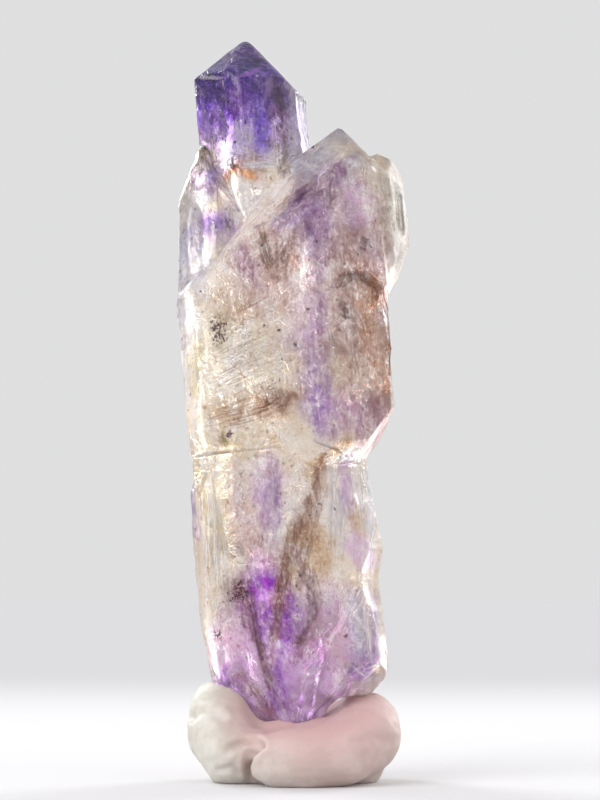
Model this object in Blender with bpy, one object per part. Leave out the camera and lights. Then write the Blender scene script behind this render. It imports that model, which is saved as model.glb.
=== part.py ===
"""A skeletal amethyst crystal that stands on its point in a lump of display putty.

Metres, +Z up. The view of the specimen that shows best looks along +Y, so -Y is its front.
The specimen is a parallel growth of quartz: every crystal in it has its long axis along one
common direction, which leans a little to the left. The crystals are drawn in that leaning
frame, the crystal frame, in millimetres: u runs to the right, v to the back and w up the long
axis. The putty is drawn upright, in millimetres, in the frame of the table.
"""

import math
import random
from typing import NamedTuple

import bmesh
import bpy
from mathutils import Matrix, Vector

MM = 0.001

# Driving dimensions of the specimen, in millimetres and degrees
LEAN = 5.0
TIP_ABOVE_TABLE = 3.6
TIP_LEFT_OF_MIDDLE = 0.9
RHOMB_STEEPNESS = 51.8
HEAD_HEIGHT = 60.9
HEAD_RADIUS = 5.15
FRONT_HEIGHT = 51.45
FRONT_FOOT = 22.6
SHOULDER_HEIGHT = 49.1
BACK_LEFT_HEIGHT = 50.9
STEM_TIP = (-0.2, -0.5, -1.8)
SIDE_CRYSTAL_HEIGHT = 13.1
LEDGE_RISE = 0.07
SHORTEST_EDGE = 0.01
SOCKET_GAP = 0.3
WINDOW_MOUTH = 1.5
WINDOW_SHRINK = 0.8
RIB_ROOT = 0.8

# Compass directions of the six prism faces that every whole crystal of the growth shares
LATTICE = (50.0, 110.0, 170.0, 230.0, 290.0, 350.0)

# The putty, in millimetres
PUTTY_GRAIN = 0.68
PUTTY_SMOOTHING = 3
PUTTY_BALLS_BETWEEN = 5
TABLE_CUT = 60.0


class Side(NamedTuple):
    """A prism face. It faces a compass direction, with 0 to the right and 270 to the front, and
    passes through a point (u, v). Its swell moves it outwards by knots of (height, distance)."""

    facing: float
    through: tuple
    swell: tuple = ()


class Slope(NamedTuple):
    """A face of a point. Its steepness is measured from the horizontal, and is negative on a
    face that looks down. It passes through the point (u, v, w)."""

    facing: float
    steepness: float
    through: tuple


class Crystal(NamedTuple):
    """One crystal of the growth: its faces, and the heights between which it is drawn."""

    name: str
    sides: tuple
    foot: float
    top: float
    slopes: tuple
    ledges: int = 0
    ledge_depth: float = 0.0
    seed: int = 0


class Window(NamedTuple):
    """A stepped pit in a face, which skeletal quartz has where a face grew less than its rim."""

    facing: float
    steepness: float
    middle: tuple
    width: float
    height: float
    depth: float
    steps: int = 3


class Roll(NamedTuple):
    """A place along the roll of putty: its middle, and how thick the roll is there."""

    middle: tuple
    radius: float


def compass(facing):
    """The level unit vector of a compass direction."""
    angle = math.radians(facing)
    return Vector((math.cos(angle), math.sin(angle), 0.0))


def outward(facing, steepness):
    """The unit vector that a face with this compass direction and steepness looks along."""
    rise = math.radians(90 - abs(steepness))
    direction = compass(facing) * math.cos(rise)
    direction.z = math.copysign(math.sin(rise), steepness)
    return direction


def swell_at(side, height):
    """How far a side stands out at a height, between its knots."""
    knots = side.swell
    if not knots:
        return 0.0
    if height <= knots[0][0]:
        return knots[0][1]
    for (low, start), (high, end) in zip(knots, knots[1:]):
        if height <= high:
            return start + (end - start) * (height - low) / (high - low)
    return knots[-1][1]


def corners(sides, reach):
    """The corners of the polygon that the sides enclose, each side at its own reach."""
    found = []
    for index, side in enumerate(sides):
        after = (index + 1) % len(sides)
        a, b = compass(side.facing), compass(sides[after].facing)
        cross = a.x * b.y - a.y * b.x
        u = (reach[index] * b.y - reach[after] * a.y) / cross
        v = (reach[after] * a.x - reach[index] * b.x) / cross
        found.append((u, v))
    return found


def levels(crystal, grow):
    """(height, reach of each side) from the foot to the top. A ledge is a pair of levels, a
    little apart, between which the sides step in or out."""
    chance = random.Random(crystal.seed)
    heights = {crystal.foot - grow, crystal.top + grow}
    for side in crystal.sides:
        heights.update(h for h, _ in side.swell if crystal.foot < h < crystal.top)
    spacing = (crystal.top - crystal.foot) / (crystal.ledges + 1)
    steps = [
        crystal.foot + spacing * (n + 1 + chance.uniform(-0.35, 0.35))
        for n in range(crystal.ledges)
    ]
    bands = [
        [chance.uniform(-1, 1) * crystal.ledge_depth for _ in crystal.sides]
        for _ in range(crystal.ledges + 1)
    ]
    clear = [h for h in heights if all(abs(h - s) > 2 * LEDGE_RISE for s in steps)]
    marks = [(h, sum(s < h for s in steps)) for h in clear]
    for band, step in enumerate(steps):
        marks += [(step - LEDGE_RISE, band), (step + LEDGE_RISE, band + 1)]
    found = []
    for height, band in sorted(marks):
        reach = [
            compass(side.facing).dot(Vector((*side.through, 0.0)))
            + swell_at(side, height)
            + grow
            + bands[band][index]
            for index, side in enumerate(crystal.sides)
        ]
        found.append((height, reach))
    return found


def cut(mesh, slope, grow):
    """Cuts a crystal's mesh along one slope, and closes the cut."""
    direction = outward(slope.facing, slope.steepness)
    point = Vector(slope.through) + direction * grow
    everything = mesh.verts[:] + mesh.edges[:] + mesh.faces[:]
    bmesh.ops.bisect_plane(
        mesh, geom=everything, plane_co=point, plane_no=direction, clear_outer=True
    )
    bmesh.ops.remove_doubles(mesh, verts=mesh.verts, dist=SHORTEST_EDGE)
    rim = [edge for edge in mesh.edges if edge.is_boundary]
    if rim:
        bmesh.ops.edgeloop_fill(mesh, edges=rim)


def loft(mesh, rings):
    """Joins rings of points, listed from the foot up, into one closed shape."""
    count = len(rings[0])
    for low, high in zip(rings, rings[1:]):
        for i in range(count):
            j = (i + 1) % count
            mesh.faces.new((low[i], low[j], high[j], high[i]))
    mesh.faces.new(rings[0][::-1])
    mesh.faces.new(rings[-1])


def crystal_mesh(crystal, grow=0.0):
    """The closed mesh of one crystal in the crystal frame, in millimetres."""
    mesh = bmesh.new()
    rings = []
    for height, reach in levels(crystal, grow):
        outline = corners(crystal.sides, reach)
        rings.append([mesh.verts.new((u, v, height)) for u, v in outline])
    loft(mesh, rings)
    for slope in crystal.slopes:
        cut(mesh, slope, grow)
    bmesh.ops.recalc_face_normals(mesh, faces=mesh.faces)
    return mesh


def window_mesh(window):
    """The stepped plug that a window leaves open: upright frames, each deeper and smaller."""
    normal = outward(window.facing, window.steepness)
    along = (Vector((0, 0, 1)) - normal * normal.z).normalized()
    across = along.cross(normal)
    step_depth = window.depth / window.steps
    outline = [
        (0.5, -0.4),
        (0.5, 0.4),
        (0.34, 0.5),
        (-0.34, 0.5),
        (-0.5, 0.4),
        (-0.5, -0.4),
        (-0.34, -0.5),
        (0.34, -0.5),
    ]
    mesh = bmesh.new()
    rings = []
    for step in range(window.steps - 1, -1, -1):
        share = 1 - WINDOW_SHRINK * step / window.steps
        floor = (step + 1) * step_depth
        mouth = step * step_depth if step else -WINDOW_MOUTH
        for depth in (floor, mouth):
            ring = []
            for side, rise in outline:
                place = Vector(window.middle) - normal * depth
                place += across * side * share * window.width
                place += along * rise * share * window.height
                ring.append(mesh.verts.new(place))
            rings.append(ring)
    loft(mesh, rings)
    bmesh.ops.recalc_face_normals(mesh, faces=mesh.faces)
    return mesh


def point_slopes(apex, steepness=RHOMB_STEEPNESS, directions=LATTICE):
    """The faces of a point that all meet at one apex."""
    return tuple(Slope(facing, steepness, apex) for facing in directions)


def lattice_sides(middle, radius):
    """The six common prism faces round an axis, as far out as a corner at the radius puts them."""
    face_distance = radius * math.cos(math.radians(30))
    places = [Vector((*middle, 0.0)) + compass(facing) * face_distance for facing in LATTICE]
    return tuple(Side(facing, (at.x, at.y)) for facing, at in zip(LATTICE, places))


def six_sided(name, middle, radius, foot, top, ledges=0, ledge_depth=0.0, seed=0):
    """A whole small crystal with the common prism faces and a point at both ends."""
    sides = lattice_sides(middle, radius)
    slopes = point_slopes((*middle, top)) + point_slopes((*middle, foot), -RHOMB_STEEPNESS)
    return Crystal(name, sides, foot, top, slopes, ledges, ledge_depth, seed)


def head():
    """The violet crystal that stands highest, behind the others."""
    middle = (1.4, 2.0)
    sides = lattice_sides(middle, HEAD_RADIUS)
    apex = (*middle, HEAD_HEIGHT)
    slopes = (
        Slope(230, 39, apex),
        Slope(290, 46, apex),
        Slope(350, RHOMB_STEEPNESS, apex),
        Slope(50, RHOMB_STEEPNESS, apex),
        Slope(110, 48, apex),
        Slope(170, 40, apex),
    )
    return Crystal("head", sides, 36, HEAD_HEIGHT, slopes, 7, 0.09, 11)


def front():
    """The broad crystal that makes the front of the upper half."""
    front_edge = (5.65, -7.0)
    apex = (8.74, -2.4, FRONT_HEIGHT)
    crest_left = (6.9, -2.4, FRONT_HEIGHT - 0.15)
    bulge = ((35.3, 0.0), (41.0, 1.23))
    waist = ((24.0, 0.0), (31.0, 0.25), (35.3, 0.0), (38.1, 2.0), (41.0, 4.5))
    sides = (
        Side(30, (11.3, -3.2), waist),
        Side(70, (6.0, 5.0)),
        Side(110, (-2.0, 5.5)),
        Side(160, (-6.4, -0.3)),
        Side(205, (-4.85, -3.6)),
        Side(252, front_edge),
        Side(297, front_edge),
        Side(340, (10.9, -4.3), bulge),
    )
    slopes = (
        Slope(179, 51.2, (5.46, -2.4, 50.5)),
        Slope(183, 35, crest_left),
        Slope(225, 5, apex),
        Slope(241, 53.8, (5.55, -7.0, 43.9)),
        Slope(297, 55, apex),
        Slope(350, 50.4, apex),
        Slope(50, RHOMB_STEEPNESS, apex),
        Slope(110, RHOMB_STEEPNESS, apex),
        Slope(350, -RHOMB_STEEPNESS, (10.7, -3.0, 26.1)),
        Slope(297, -RHOMB_STEEPNESS, (*front_edge, 24.3)),
        Slope(252, -60, (*front_edge, 24.0)),
        Slope(183, -38, (3.3, -5.0, 22.8)),
        Slope(190, -58, (-6.2, -1.0, 24.5)),
        Slope(120, -RHOMB_STEEPNESS, (-3.0, 5.0, 27.0)),
        Slope(60, -RHOMB_STEEPNESS, (6.0, 5.0, 28.0)),
    )
    return Crystal("front", sides, FRONT_FOOT, FRONT_HEIGHT, slopes, 9, 0.1, 5)


def front_left():
    """The lower crystal beside the front one, whose top slopes down to the upper left."""
    left_corner = (-6.45, -0.3)
    sides = (
        Side(20, (2.5, -4.5)),
        Side(110, (-2.0, 4.0)),
        Side(160, left_corner),
        Side(205, (-4.9, -3.65)),
        Side(252, (5.66, -7.07)),
    )
    slopes = (
        Slope(179, 41, (-6.2, -0.5, 38.2)),
        Slope(235, 56, (-4.9, -3.65, 38.0)),
        Slope(10, 35, (-0.4, -2.0, 43.2)),
        Slope(110, RHOMB_STEEPNESS, (-2.0, 2.0, 42.0)),
        Slope(245, -60, (-4.9, -3.65, 25.4)),
        Slope(15, -60, (2.5, -4.5, 25.4)),
    )
    return Crystal("front_left", sides, 24.4, 45, slopes, 4, 0.04, 6)


def front_step():
    """The lower point in front of the front crystal's own, which gives it a two-step top."""
    apex = (9.1, -4.3, FRONT_HEIGHT - 2.2)
    sides = (
        Side(50, (10.0, -1.5)),
        Side(110, (8.0, -1.5)),
        Side(170, (6.9, -4.0)),
        Side(230, (6.6, -6.0)),
        Side(290, (9.0, -5.6)),
        Side(350, (11.6, -4.0)),
    )
    slopes = point_slopes(apex, 42) + point_slopes((*apex[:2], 34.0), -RHOMB_STEEPNESS)
    return Crystal("front_step", sides, 32, FRONT_HEIGHT, slopes)


def shoulder():
    """The crystal that fills the bulge at the upper right, with a blunt two-slope top."""
    crest = (11.8, -1.0, SHOULDER_HEIGHT)
    sides = (
        Side(30, (14.05, 0.85)),
        Side(90, (11.5, 2.8)),
        Side(165, (8.5, 0.0)),
        Side(235, (10.2, -3.6)),
        Side(285, (11.2, -3.9)),
        Side(340, (12.42, -3.45)),
    )
    slopes = (
        Slope(0, 34, crest),
        Slope(5, 48, (13.0, -1.0, 48.3)),
        Slope(290, RHOMB_STEEPNESS, (11.8, -1.7, SHOULDER_HEIGHT)),
        Slope(80, RHOMB_STEEPNESS, (11.8, 0.2, SHOULDER_HEIGHT)),
        Slope(180, 30, crest),
        Slope(0, -55, (13.4, -1.0, 40.6)),
    )
    return Crystal("shoulder", sides, 38, SHOULDER_HEIGHT, slopes, 3, 0.08, 8)


def back_left():
    """The crystal at the upper left, between the front crystal and the head."""
    front_edge = (-2.7, -3.6)
    apex = (-3.9, -1.5, BACK_LEFT_HEIGHT)
    taper = ((24.0, 0.2), (36.9, 0.35), (41.6, -0.1), (46.3, -0.55))
    sides = (
        Side(50, (1.0, 4.5)),
        Side(110, (-4.0, 4.6)),
        Side(170, (-6.1, -0.75), taper),
        Side(230, front_edge, taper),
        Side(290, front_edge),
        Side(350, (3.0, 0.0)),
    )
    slopes = (
        Slope(200, 68, (-5.5, -0.75, 46.3)),
        Slope(345, 61, (-3.4, -1.5, BACK_LEFT_HEIGHT - 0.2)),
        Slope(262, 60, apex),
        Slope(110, 55, apex),
        Slope(170, 66, apex),
        Slope(160, -58, (-5.6, 0.5, 21.0)),
        Slope(110, -RHOMB_STEEPNESS, (-3.0, 4.5, 23.0)),
    )
    return Crystal("back_left", sides, 19, BACK_LEFT_HEIGHT, slopes, 8, 0.1, 21)


def stem():
    """The lower crystal, which tapers to the point that stands in the putty."""
    front_edge = (2.0, -5.5)
    right_swell = ((8.0, 0.0), (12.7, -0.1), (15.2, 0.6), (18.0, 0.3), (20.0, -0.05), (26.0, 0.0))
    sides = (
        Side(45, (8.8, 0.66), right_swell),
        Side(90, (0.0, 5.0)),
        Side(140, (-6.8, 1.3)),
        Side(200, (-5.6, -1.95), ((21.1, 0.0), (23.7, -0.85))),
        Side(245, front_edge),
        Side(295, front_edge),
        Side(335, (7.0, -3.2), right_swell),
    )
    slopes = (
        Slope(200, -82, (-6.8, 1.3, 10.1)),
        Slope(195, -75, (-6.3, -0.5, 6.4)),
        Slope(190, -53, (-5.75, -1.0, 4.3)),
        Slope(185, -44, (-4.04, -1.0, 2.0)),
        Slope(245, -73, (*front_edge, 10.0)),
        Slope(295, -66, (*front_edge, 10.0)),
        Slope(340, -45, STEM_TIP),
        Slope(45, -58, STEM_TIP),
        Slope(90, -60, STEM_TIP),
        Slope(140, -72, (-6.5, 1.8, 6.0)),
    )
    return Crystal("stem", sides, STEM_TIP[2] - 0.4, 27, slopes, 9, 0.09, 2)


def side_crystal():
    """The small crystal at the lower right, with points at both ends."""
    left_edge = (5.25, -4.8)
    right_edge = (7.75, -3.9)
    apex = (7.1, -2.5, SIDE_CRYSTAL_HEIGHT)
    sides = (
        Side(45, (8.3, 0.9)),
        Side(135, (5.0, 1.5)),
        Side(225, left_edge),
        Side(290, left_edge),
        Side(345, right_edge),
    )
    slopes = (
        Slope(290, RHOMB_STEEPNESS, apex),
        Slope(345, 72, apex),
        Slope(225, 60, apex),
        Slope(45, 55, apex),
        Slope(275, -48, (*left_edge, 5.0)),
        Slope(312, -50, (*right_edge, 6.4)),
        Slope(12, -52, (8.9, 0.4, 5.2)),
    )
    return Crystal("side_crystal", sides, 3.3, SIDE_CRYSTAL_HEIGHT, slopes, 2, 0.05, 4)


def rear_low():
    """The lowest of the crystals at the back, whose foot also reaches into the putty."""
    return six_sided("rear_low", (5.4, 3.0), 3.5, 4.0, 24.0, 4, 0.08, 34)


def rear_crystals():
    """The whole crystals that stand side by side at the back."""
    return [
        rear_low(),
        six_sided("rear_left", (-2.0, 3.3), 4.0, 13.5, 42.5, 6, 0.1, 31),
        six_sided("rear_middle", (2.6, 4.4), 4.3, 7.5, 37.0, 6, 0.1, 32),
        six_sided("rear_right", (7.0, 2.6), 3.9, 26.0, 46.5, 5, 0.1, 33),
        six_sided("rear_high", (-0.6, 5.0), 2.4, 34.0, 52.5, 4, 0.08, 35),
    ]


def rib(name, facing, at, width, proud, foot, top):
    """A slender crystal that stands a little proud of the face that it grew with. It has a
    flat front, bevelled edges, and a long slanting point at both ends."""
    front_face = compass(facing)
    across = compass(facing + 90)
    base = Vector((*at, 0.0))
    half = across * width / 2
    inner = base - front_face * RIB_ROOT
    places = (
        (facing, base + front_face * proud),
        (facing + 60, base + half),
        (facing + 150, inner),
        (facing + 210, inner),
        (facing + 300, base - half),
    )
    sides = tuple(Side(direction, (point.x, point.y)) for direction, point in places)
    slopes = (
        Slope(facing + 40, 60, (*at, top)),
        Slope(facing - 40, 68, (*at, top)),
        Slope(facing + 35, -68, (*at, foot)),
        Slope(facing - 45, -60, (*at, foot)),
    )
    return Crystal(name, sides, foot - 2, top + 2, slopes)


def ribs():
    """The slender crystals on the faces: name, face, place, width, rise, foot and top."""
    places = (
        ("rib_front_one", 252, (-3.4, -4.06), 1.6, 0.12, 26.6, 36.5),
        ("rib_front_two", 252, (-0.6, -4.97), 2.2, 0.15, 29.0, 41.0),
        ("rib_front_three", 252, (2.6, -6.0), 1.8, 0.13, 26.4, 34.0),
        ("rib_front_four", 297, (7.6, -6.0), 2.0, 0.14, 27.0, 39.5),
        ("rib_front_five", 297, (9.6, -4.99), 1.2, 0.12, 33.0, 44.0),
        ("rib_left", 205, (-5.7, -1.78), 1.6, 0.1, 27.0, 37.5),
        ("rib_stem_one", 245, (-3.6, -2.89), 2.0, 0.14, 12.5, 21.0),
        ("rib_stem_two", 245, (-0.4, -4.38), 1.7, 0.12, 11.2, 22.0),
        ("rib_stem_three", 295, (4.0, -4.57), 1.6, 0.14, 12.4, 21.5),
        ("rib_head", 230, (-1.6, -1.31), 1.6, 0.1, 46.0, 54.5),
        ("rib_back_left", 230, (-4.4, -2.17), 1.3, 0.12, 39.0, 45.5),
        ("rib_rear_one", 170, (-5.41, 3.9), 2.0, 0.3, 17.0, 25.0),
        ("rib_rear_two", 50, (4.99, 7.25), 1.8, 0.3, 12.5, 24.0),
        ("rib_rear_three", 110, (6.2, 5.9), 1.4, 0.25, 29.0, 31.5),
        ("rib_rear_four", 110, (-0.75, 7.2), 1.2, 0.25, 14.0, 33.0),
        ("rib_right", 350, (10.33, 2.0), 1.6, 0.2, 30.0, 39.0),
    )
    return [rib(*place) for place in places]


def crown_crystals():
    """The two small crystals that step down from the head to the back-left crystal."""
    return [
        six_sided("crown_upper", (-3.15, -0.3), 0.8, 45.5, 51.4),
        six_sided("crown_lower", (-3.55, -1.1), 0.85, 43.0, 50.1),
    ]


def windows():
    """The stepped pits. The back and the right have the deep ones, the front shallow ones."""
    return [
        Window(110, 90, (-3.18, 6.55, 28.5), 2.4, 8.0, 0.7),
        Window(110, 90, (1.6, 8.0, 24.0), 2.4, 9.0, 0.8),
        Window(50, 90, (4.99, 7.25, 29.6), 2.2, 7.0, 0.7),
        Window(50, 90, (7.35, 5.32, 14.0), 2.0, 6.0, 0.6),
        Window(50, 90, (9.17, 5.19, 36.0), 2.3, 8.0, 0.7),
        Window(110, 90, (5.6, 5.68, 36.6), 2.2, 7.0, 0.6),
        Window(170, 90, (-5.41, 3.9, 31.0), 2.2, 8.0, 0.6),
        Window(30, 90, (13.7, 1.6, 44.4), 1.8, 4.2, 0.45),
        Window(340, 90, (13.2, -1.4, 44.0), 2.0, 4.6, 0.4),
        Window(110, 90, (-0.12, 6.19, 55.0), 2.6, 5.0, 0.4),
        Window(50, 90, (4.27, 5.42, 52.5), 2.6, 5.4, 0.4),
        Window(290, 90, (1.9, -2.56, 50.6), 2.9, 4.6, 0.24),
        Window(290, 90, (6.5, -4.34, 8.7), 1.3, 3.2, 0.2, 2),
    ]


def to_object(name, mesh, collection, frame):
    """An object made from a mesh in millimetres, placed by a frame in metres."""
    bmesh.ops.transform(mesh, matrix=frame @ Matrix.Scale(MM, 4), verts=mesh.verts)
    data = bpy.data.meshes.new(name)
    mesh.to_mesh(data)
    mesh.free()
    made = bpy.data.objects.new(name, data)
    collection.objects.link(made)
    return made


def helper_collection(name):
    """A collection for shapes that join or cut others, which no render shows."""
    made = bpy.data.collections.new(name)
    bpy.context.scene.collection.children.link(made)
    return made


def as_helper(thing):
    """Marks an object as one that only shapes others."""
    thing.hide_render = True
    thing.display_type = "WIRE"


def boolean(thing, name, operation, collection):
    """Joins or cuts an object with every shape in a collection."""
    modifier = thing.modifiers.new(name, "BOOLEAN")
    modifier.operation = operation
    modifier.operand_type = "COLLECTION"
    modifier.collection = collection
    modifier.solver = "EXACT"


def crystal_frame():
    """The leaning frame of the growth, in metres."""
    root = Vector((-TIP_LEFT_OF_MIDDLE, 0.0, TIP_ABOVE_TABLE)) * MM
    return Matrix.Translation(root) @ Matrix.Rotation(math.radians(-LEAN), 4, "Y")


def quartz_material():
    """Clear quartz with a pale violet tint."""
    made = bpy.data.materials.new("amethyst_quartz")
    made.use_nodes = True
    shader = made.node_tree.nodes["Principled BSDF"]
    shader.inputs["Base Color"].default_value = (0.79, 0.70, 0.86, 1.0)
    shader.inputs["Roughness"].default_value = 0.08
    shader.inputs["Metallic"].default_value = 0.0
    shader.inputs["IOR"].default_value = 1.544
    shader.inputs["Transmission Weight"].default_value = 0.9
    return made


def putty_material():
    """Matte off-white mineral putty."""
    made = bpy.data.materials.new("white_putty")
    made.use_nodes = True
    shader = made.node_tree.nodes["Principled BSDF"]
    shader.inputs["Base Color"].default_value = (0.80, 0.78, 0.74, 1.0)
    shader.inputs["Roughness"].default_value = 0.75
    shader.inputs["Metallic"].default_value = 0.0
    return made


def build_crystal(scene_collection):
    """The whole grown-together specimen as one solid."""
    joined = helper_collection("grown_together")
    opened = helper_collection("skeletal_windows")
    frame = crystal_frame()
    parts = [
        front_left(),
        front_step(),
        shoulder(),
        back_left(),
        stem(),
        side_crystal(),
        head(),
        *rear_crystals(),
        *crown_crystals(),
        *ribs(),
    ]
    for crystal in parts:
        as_helper(to_object("grown_" + crystal.name, crystal_mesh(crystal), joined, frame))
    for number, window in enumerate(windows(), 1):
        as_helper(to_object(f"window_{number:02d}", window_mesh(window), opened, frame))
    quartz = to_object("quartz_crystal", crystal_mesh(front()), scene_collection, frame)
    quartz.data.materials.append(quartz_material())
    boolean(quartz, "grow_together", "UNION", joined)
    boolean(quartz, "open_windows", "DIFFERENCE", opened)
    return quartz


def putty_roll():
    """The roll of putty: from its blunt front end to the right, round the back to the left."""
    return [
        Roll((-1.7, -6.1, 2.2), 2.5),
        Roll((0.6, -6.1, 2.2), 2.7),
        Roll((3.4, -5.4, 2.7), 2.85),
        Roll((5.4, -3.4, 3.7), 2.95),
        Roll((5.7, -0.2, 4.7), 2.9),
        Roll((4.6, 3.2, 4.2), 2.8),
        Roll((0.4, 4.6, 3.4), 2.8),
        Roll((-3.8, 3.6, 4.2), 2.9),
        Roll((-6.5, 1.0, 5.7), 3.05),
        Roll((-6.7, -1.2, 3.9), 3.0),
        Roll((-5.7, -2.4, 2.6), 2.9),
    ]


def putty_fill():
    """The pressed middle of the lump, under and round the point, and its small front fold."""
    return [
        Roll((-1.5, -0.4, 1.6), 4.0),
        Roll((1.6, -0.8, 1.6), 4.0),
        Roll((-4.6, -0.6, 1.8), 3.4),
        Roll((3.8, -0.6, 1.8), 3.4),
        Roll((0.2, 2.4, 1.8), 3.4),
        Roll((-3.6, -3.9, 3.1), 1.6),
        Roll((-2.4, -3.7, 2.9), 1.6),
    ]


def add_ball(mesh, place):
    """One ball of putty."""
    where = Matrix.Translation(Vector(place.middle))
    bmesh.ops.create_icosphere(mesh, subdivisions=3, radius=place.radius, matrix=where)


def between(first, second, share):
    """A place on the roll between two others."""
    middle = Vector(first.middle).lerp(Vector(second.middle), share)
    radius = first.radius + (second.radius - first.radius) * share
    return Roll(tuple(middle), radius)


def build_putty(scene_collection):
    """The lump of putty: a roll and its fill, kneaded together, flat below, with a socket."""
    mesh = bmesh.new()
    roll = putty_roll()
    for first, second in zip(roll, roll[1:]):
        for step in range(PUTTY_BALLS_BETWEEN):
            add_ball(mesh, between(first, second, step / PUTTY_BALLS_BETWEEN))
    add_ball(mesh, roll[-1])
    for place in putty_fill():
        add_ball(mesh, place)
    putty = to_object("display_putty", mesh, scene_collection, Matrix.Identity(4))
    putty.data.materials.append(putty_material())

    knead = putty.modifiers.new("knead", "REMESH")
    knead.mode = "VOXEL"
    knead.voxel_size = PUTTY_GRAIN * MM
    knead.use_smooth_shade = True
    smooth = putty.modifiers.new("smooth", "SMOOTH")
    smooth.factor = 0.5
    smooth.iterations = PUTTY_SMOOTHING

    cutters = helper_collection("putty_cutters")
    table = bmesh.new()
    below = Matrix.Translation((0, 0, -TABLE_CUT / 2))
    bmesh.ops.create_cube(table, size=TABLE_CUT, matrix=below)
    as_helper(to_object("table_cut", table, cutters, Matrix.Identity(4)))
    boolean(putty, "flat_base", "DIFFERENCE", cutters)

    sockets = helper_collection("putty_sockets")
    for crystal in (stem(), side_crystal(), rear_low()):
        socket = crystal_mesh(crystal, SOCKET_GAP)
        as_helper(to_object("socket_" + crystal.name, socket, sockets, crystal_frame()))
    boolean(putty, "socket", "DIFFERENCE", sockets)
    return putty


def stand_on_origin(things):
    """Moves the pieces together, so that the middle of their base is the origin."""
    anchor = bpy.data.objects.new("specimen", None)
    bpy.context.scene.collection.objects.link(anchor)
    bpy.context.view_layer.update()
    shaped = bpy.context.evaluated_depsgraph_get()
    points = []
    for thing in things:
        ready = thing.evaluated_get(shaped)
        points += [ready.matrix_world @ vertex.co for vertex in ready.data.vertices]
    low = Vector(min(point[axis] for point in points) for axis in range(3))
    high = Vector(max(point[axis] for point in points) for axis in range(3))
    middle = (low + high) / 2
    helpers = [thing for thing in bpy.data.objects if thing.display_type == "WIRE"]
    for thing in [*things, *helpers]:
        thing.parent = anchor
    anchor.location = (-middle.x, -middle.y, -low.z)
    bpy.context.view_layer.update()


def main():
    """Clears the scene and builds the specimen."""
    for thing in list(bpy.data.objects):
        bpy.data.objects.remove(thing, do_unlink=True)
    home = bpy.context.scene.collection
    quartz = build_crystal(home)
    putty = build_putty(home)
    stand_on_origin([quartz, putty])


main()
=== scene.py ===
"""The looks of a skeletal quartz crystal that stands in a lump of display putty.

The crystal is see-through quartz with violet, smoky and cream growth zones, dark flecks, milky veils and nested
skeletal frames inside it. All sizes are millimetres unless a name says otherwise; the scene itself is in metres.
"""

import logging
import math
from dataclasses import dataclass, field
from enum import Enum
from typing import Any, Callable, Sequence

import bmesh
import bpy
import numpy
from mathutils import Matrix, Vector, noise
from mathutils.bvhtree import BVHTree


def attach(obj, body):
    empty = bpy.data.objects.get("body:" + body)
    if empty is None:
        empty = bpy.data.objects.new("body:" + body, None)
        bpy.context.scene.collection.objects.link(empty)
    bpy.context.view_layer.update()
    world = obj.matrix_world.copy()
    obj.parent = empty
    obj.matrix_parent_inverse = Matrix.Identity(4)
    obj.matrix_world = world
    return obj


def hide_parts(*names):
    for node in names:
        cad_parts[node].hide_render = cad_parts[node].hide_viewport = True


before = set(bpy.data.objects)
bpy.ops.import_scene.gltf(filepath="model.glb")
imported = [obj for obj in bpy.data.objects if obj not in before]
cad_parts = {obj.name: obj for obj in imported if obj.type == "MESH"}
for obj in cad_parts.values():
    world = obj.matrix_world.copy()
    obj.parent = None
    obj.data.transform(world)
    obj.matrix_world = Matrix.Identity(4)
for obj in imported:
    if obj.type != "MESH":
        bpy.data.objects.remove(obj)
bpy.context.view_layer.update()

MM = 0.001
BODY = "root"
TINT_LAYER = "growth_tint"
EDGE_LAYER = "worn_and_lit_edge"
MILKY_LAYER = "milky_skin"
MERGE = 0.002
FINEST_PAINTED = 0.5
STAIN_DEPTH = 1.0
LINE_DEPTH = 2.5
LOG = logging.getLogger("quartz_specimen")

Point = tuple[float, float, float]


class Slot(Enum):
    """The record's finishes."""

    QUARTZ = "amethyst_quartz"
    PUTTY = "white_putty"


class Hue(Enum):
    """The specimen's colours, as screen colours from 0 to 255."""

    INDIGO = (58, 10, 142)
    DUSK = (84, 28, 142)
    VIOLET = (104, 56, 174)
    BLUE_VIOLET = (146, 104, 236)
    SOFT_VIOLET = (146, 108, 180)
    VIVID_VIOLET = (154, 44, 208)
    ORCHID = (184, 106, 226)
    LILAC = (200, 162, 220)
    PALE_LILAC = (232, 200, 246)
    PINK = (248, 208, 242)
    SHELL = (230, 208, 216)
    MAUVE = (186, 148, 162)
    PLUM = (150, 94, 130)
    TAUPE = (160, 118, 106)
    ROSE = (196, 158, 156)
    RUST = (184, 96, 48)
    ORANGE = (248, 160, 66)
    SIENNA = (178, 122, 84)
    BROWN = (130, 80, 50)
    DARK_BROWN = (104, 58, 44)
    SMOKE = (106, 76, 96)
    INK = (30, 16, 34)
    JET = (6, 3, 8)
    TAN = (214, 180, 138)
    CREAM = (236, 222, 190)
    IVORY = (250, 240, 220)
    MILK = (255, 250, 232)
    YELLOW_GREEN = (206, 196, 128)
    OLIVE = (166, 156, 122)
    MOSS = (136, 124, 50)
    PALE_BLUE = (212, 218, 240)
    GREY_BLUE = (188, 192, 208)
    FROST = (230, 232, 234)
    WHITE = (250, 247, 249)

    @property
    def paint(self) -> tuple[float, float, float, float]:
        """The colour as a shader takes it, in linear light."""
        return linear(self.value)

    @property
    def stain(self) -> tuple[float, float, float, float]:
        """The colour of quartz that looks like this when light has thinned it on its way through."""
        red, green, blue, alpha = self.paint
        return (red ** STAIN_DEPTH, green ** STAIN_DEPTH, blue ** STAIN_DEPTH, alpha)


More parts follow.
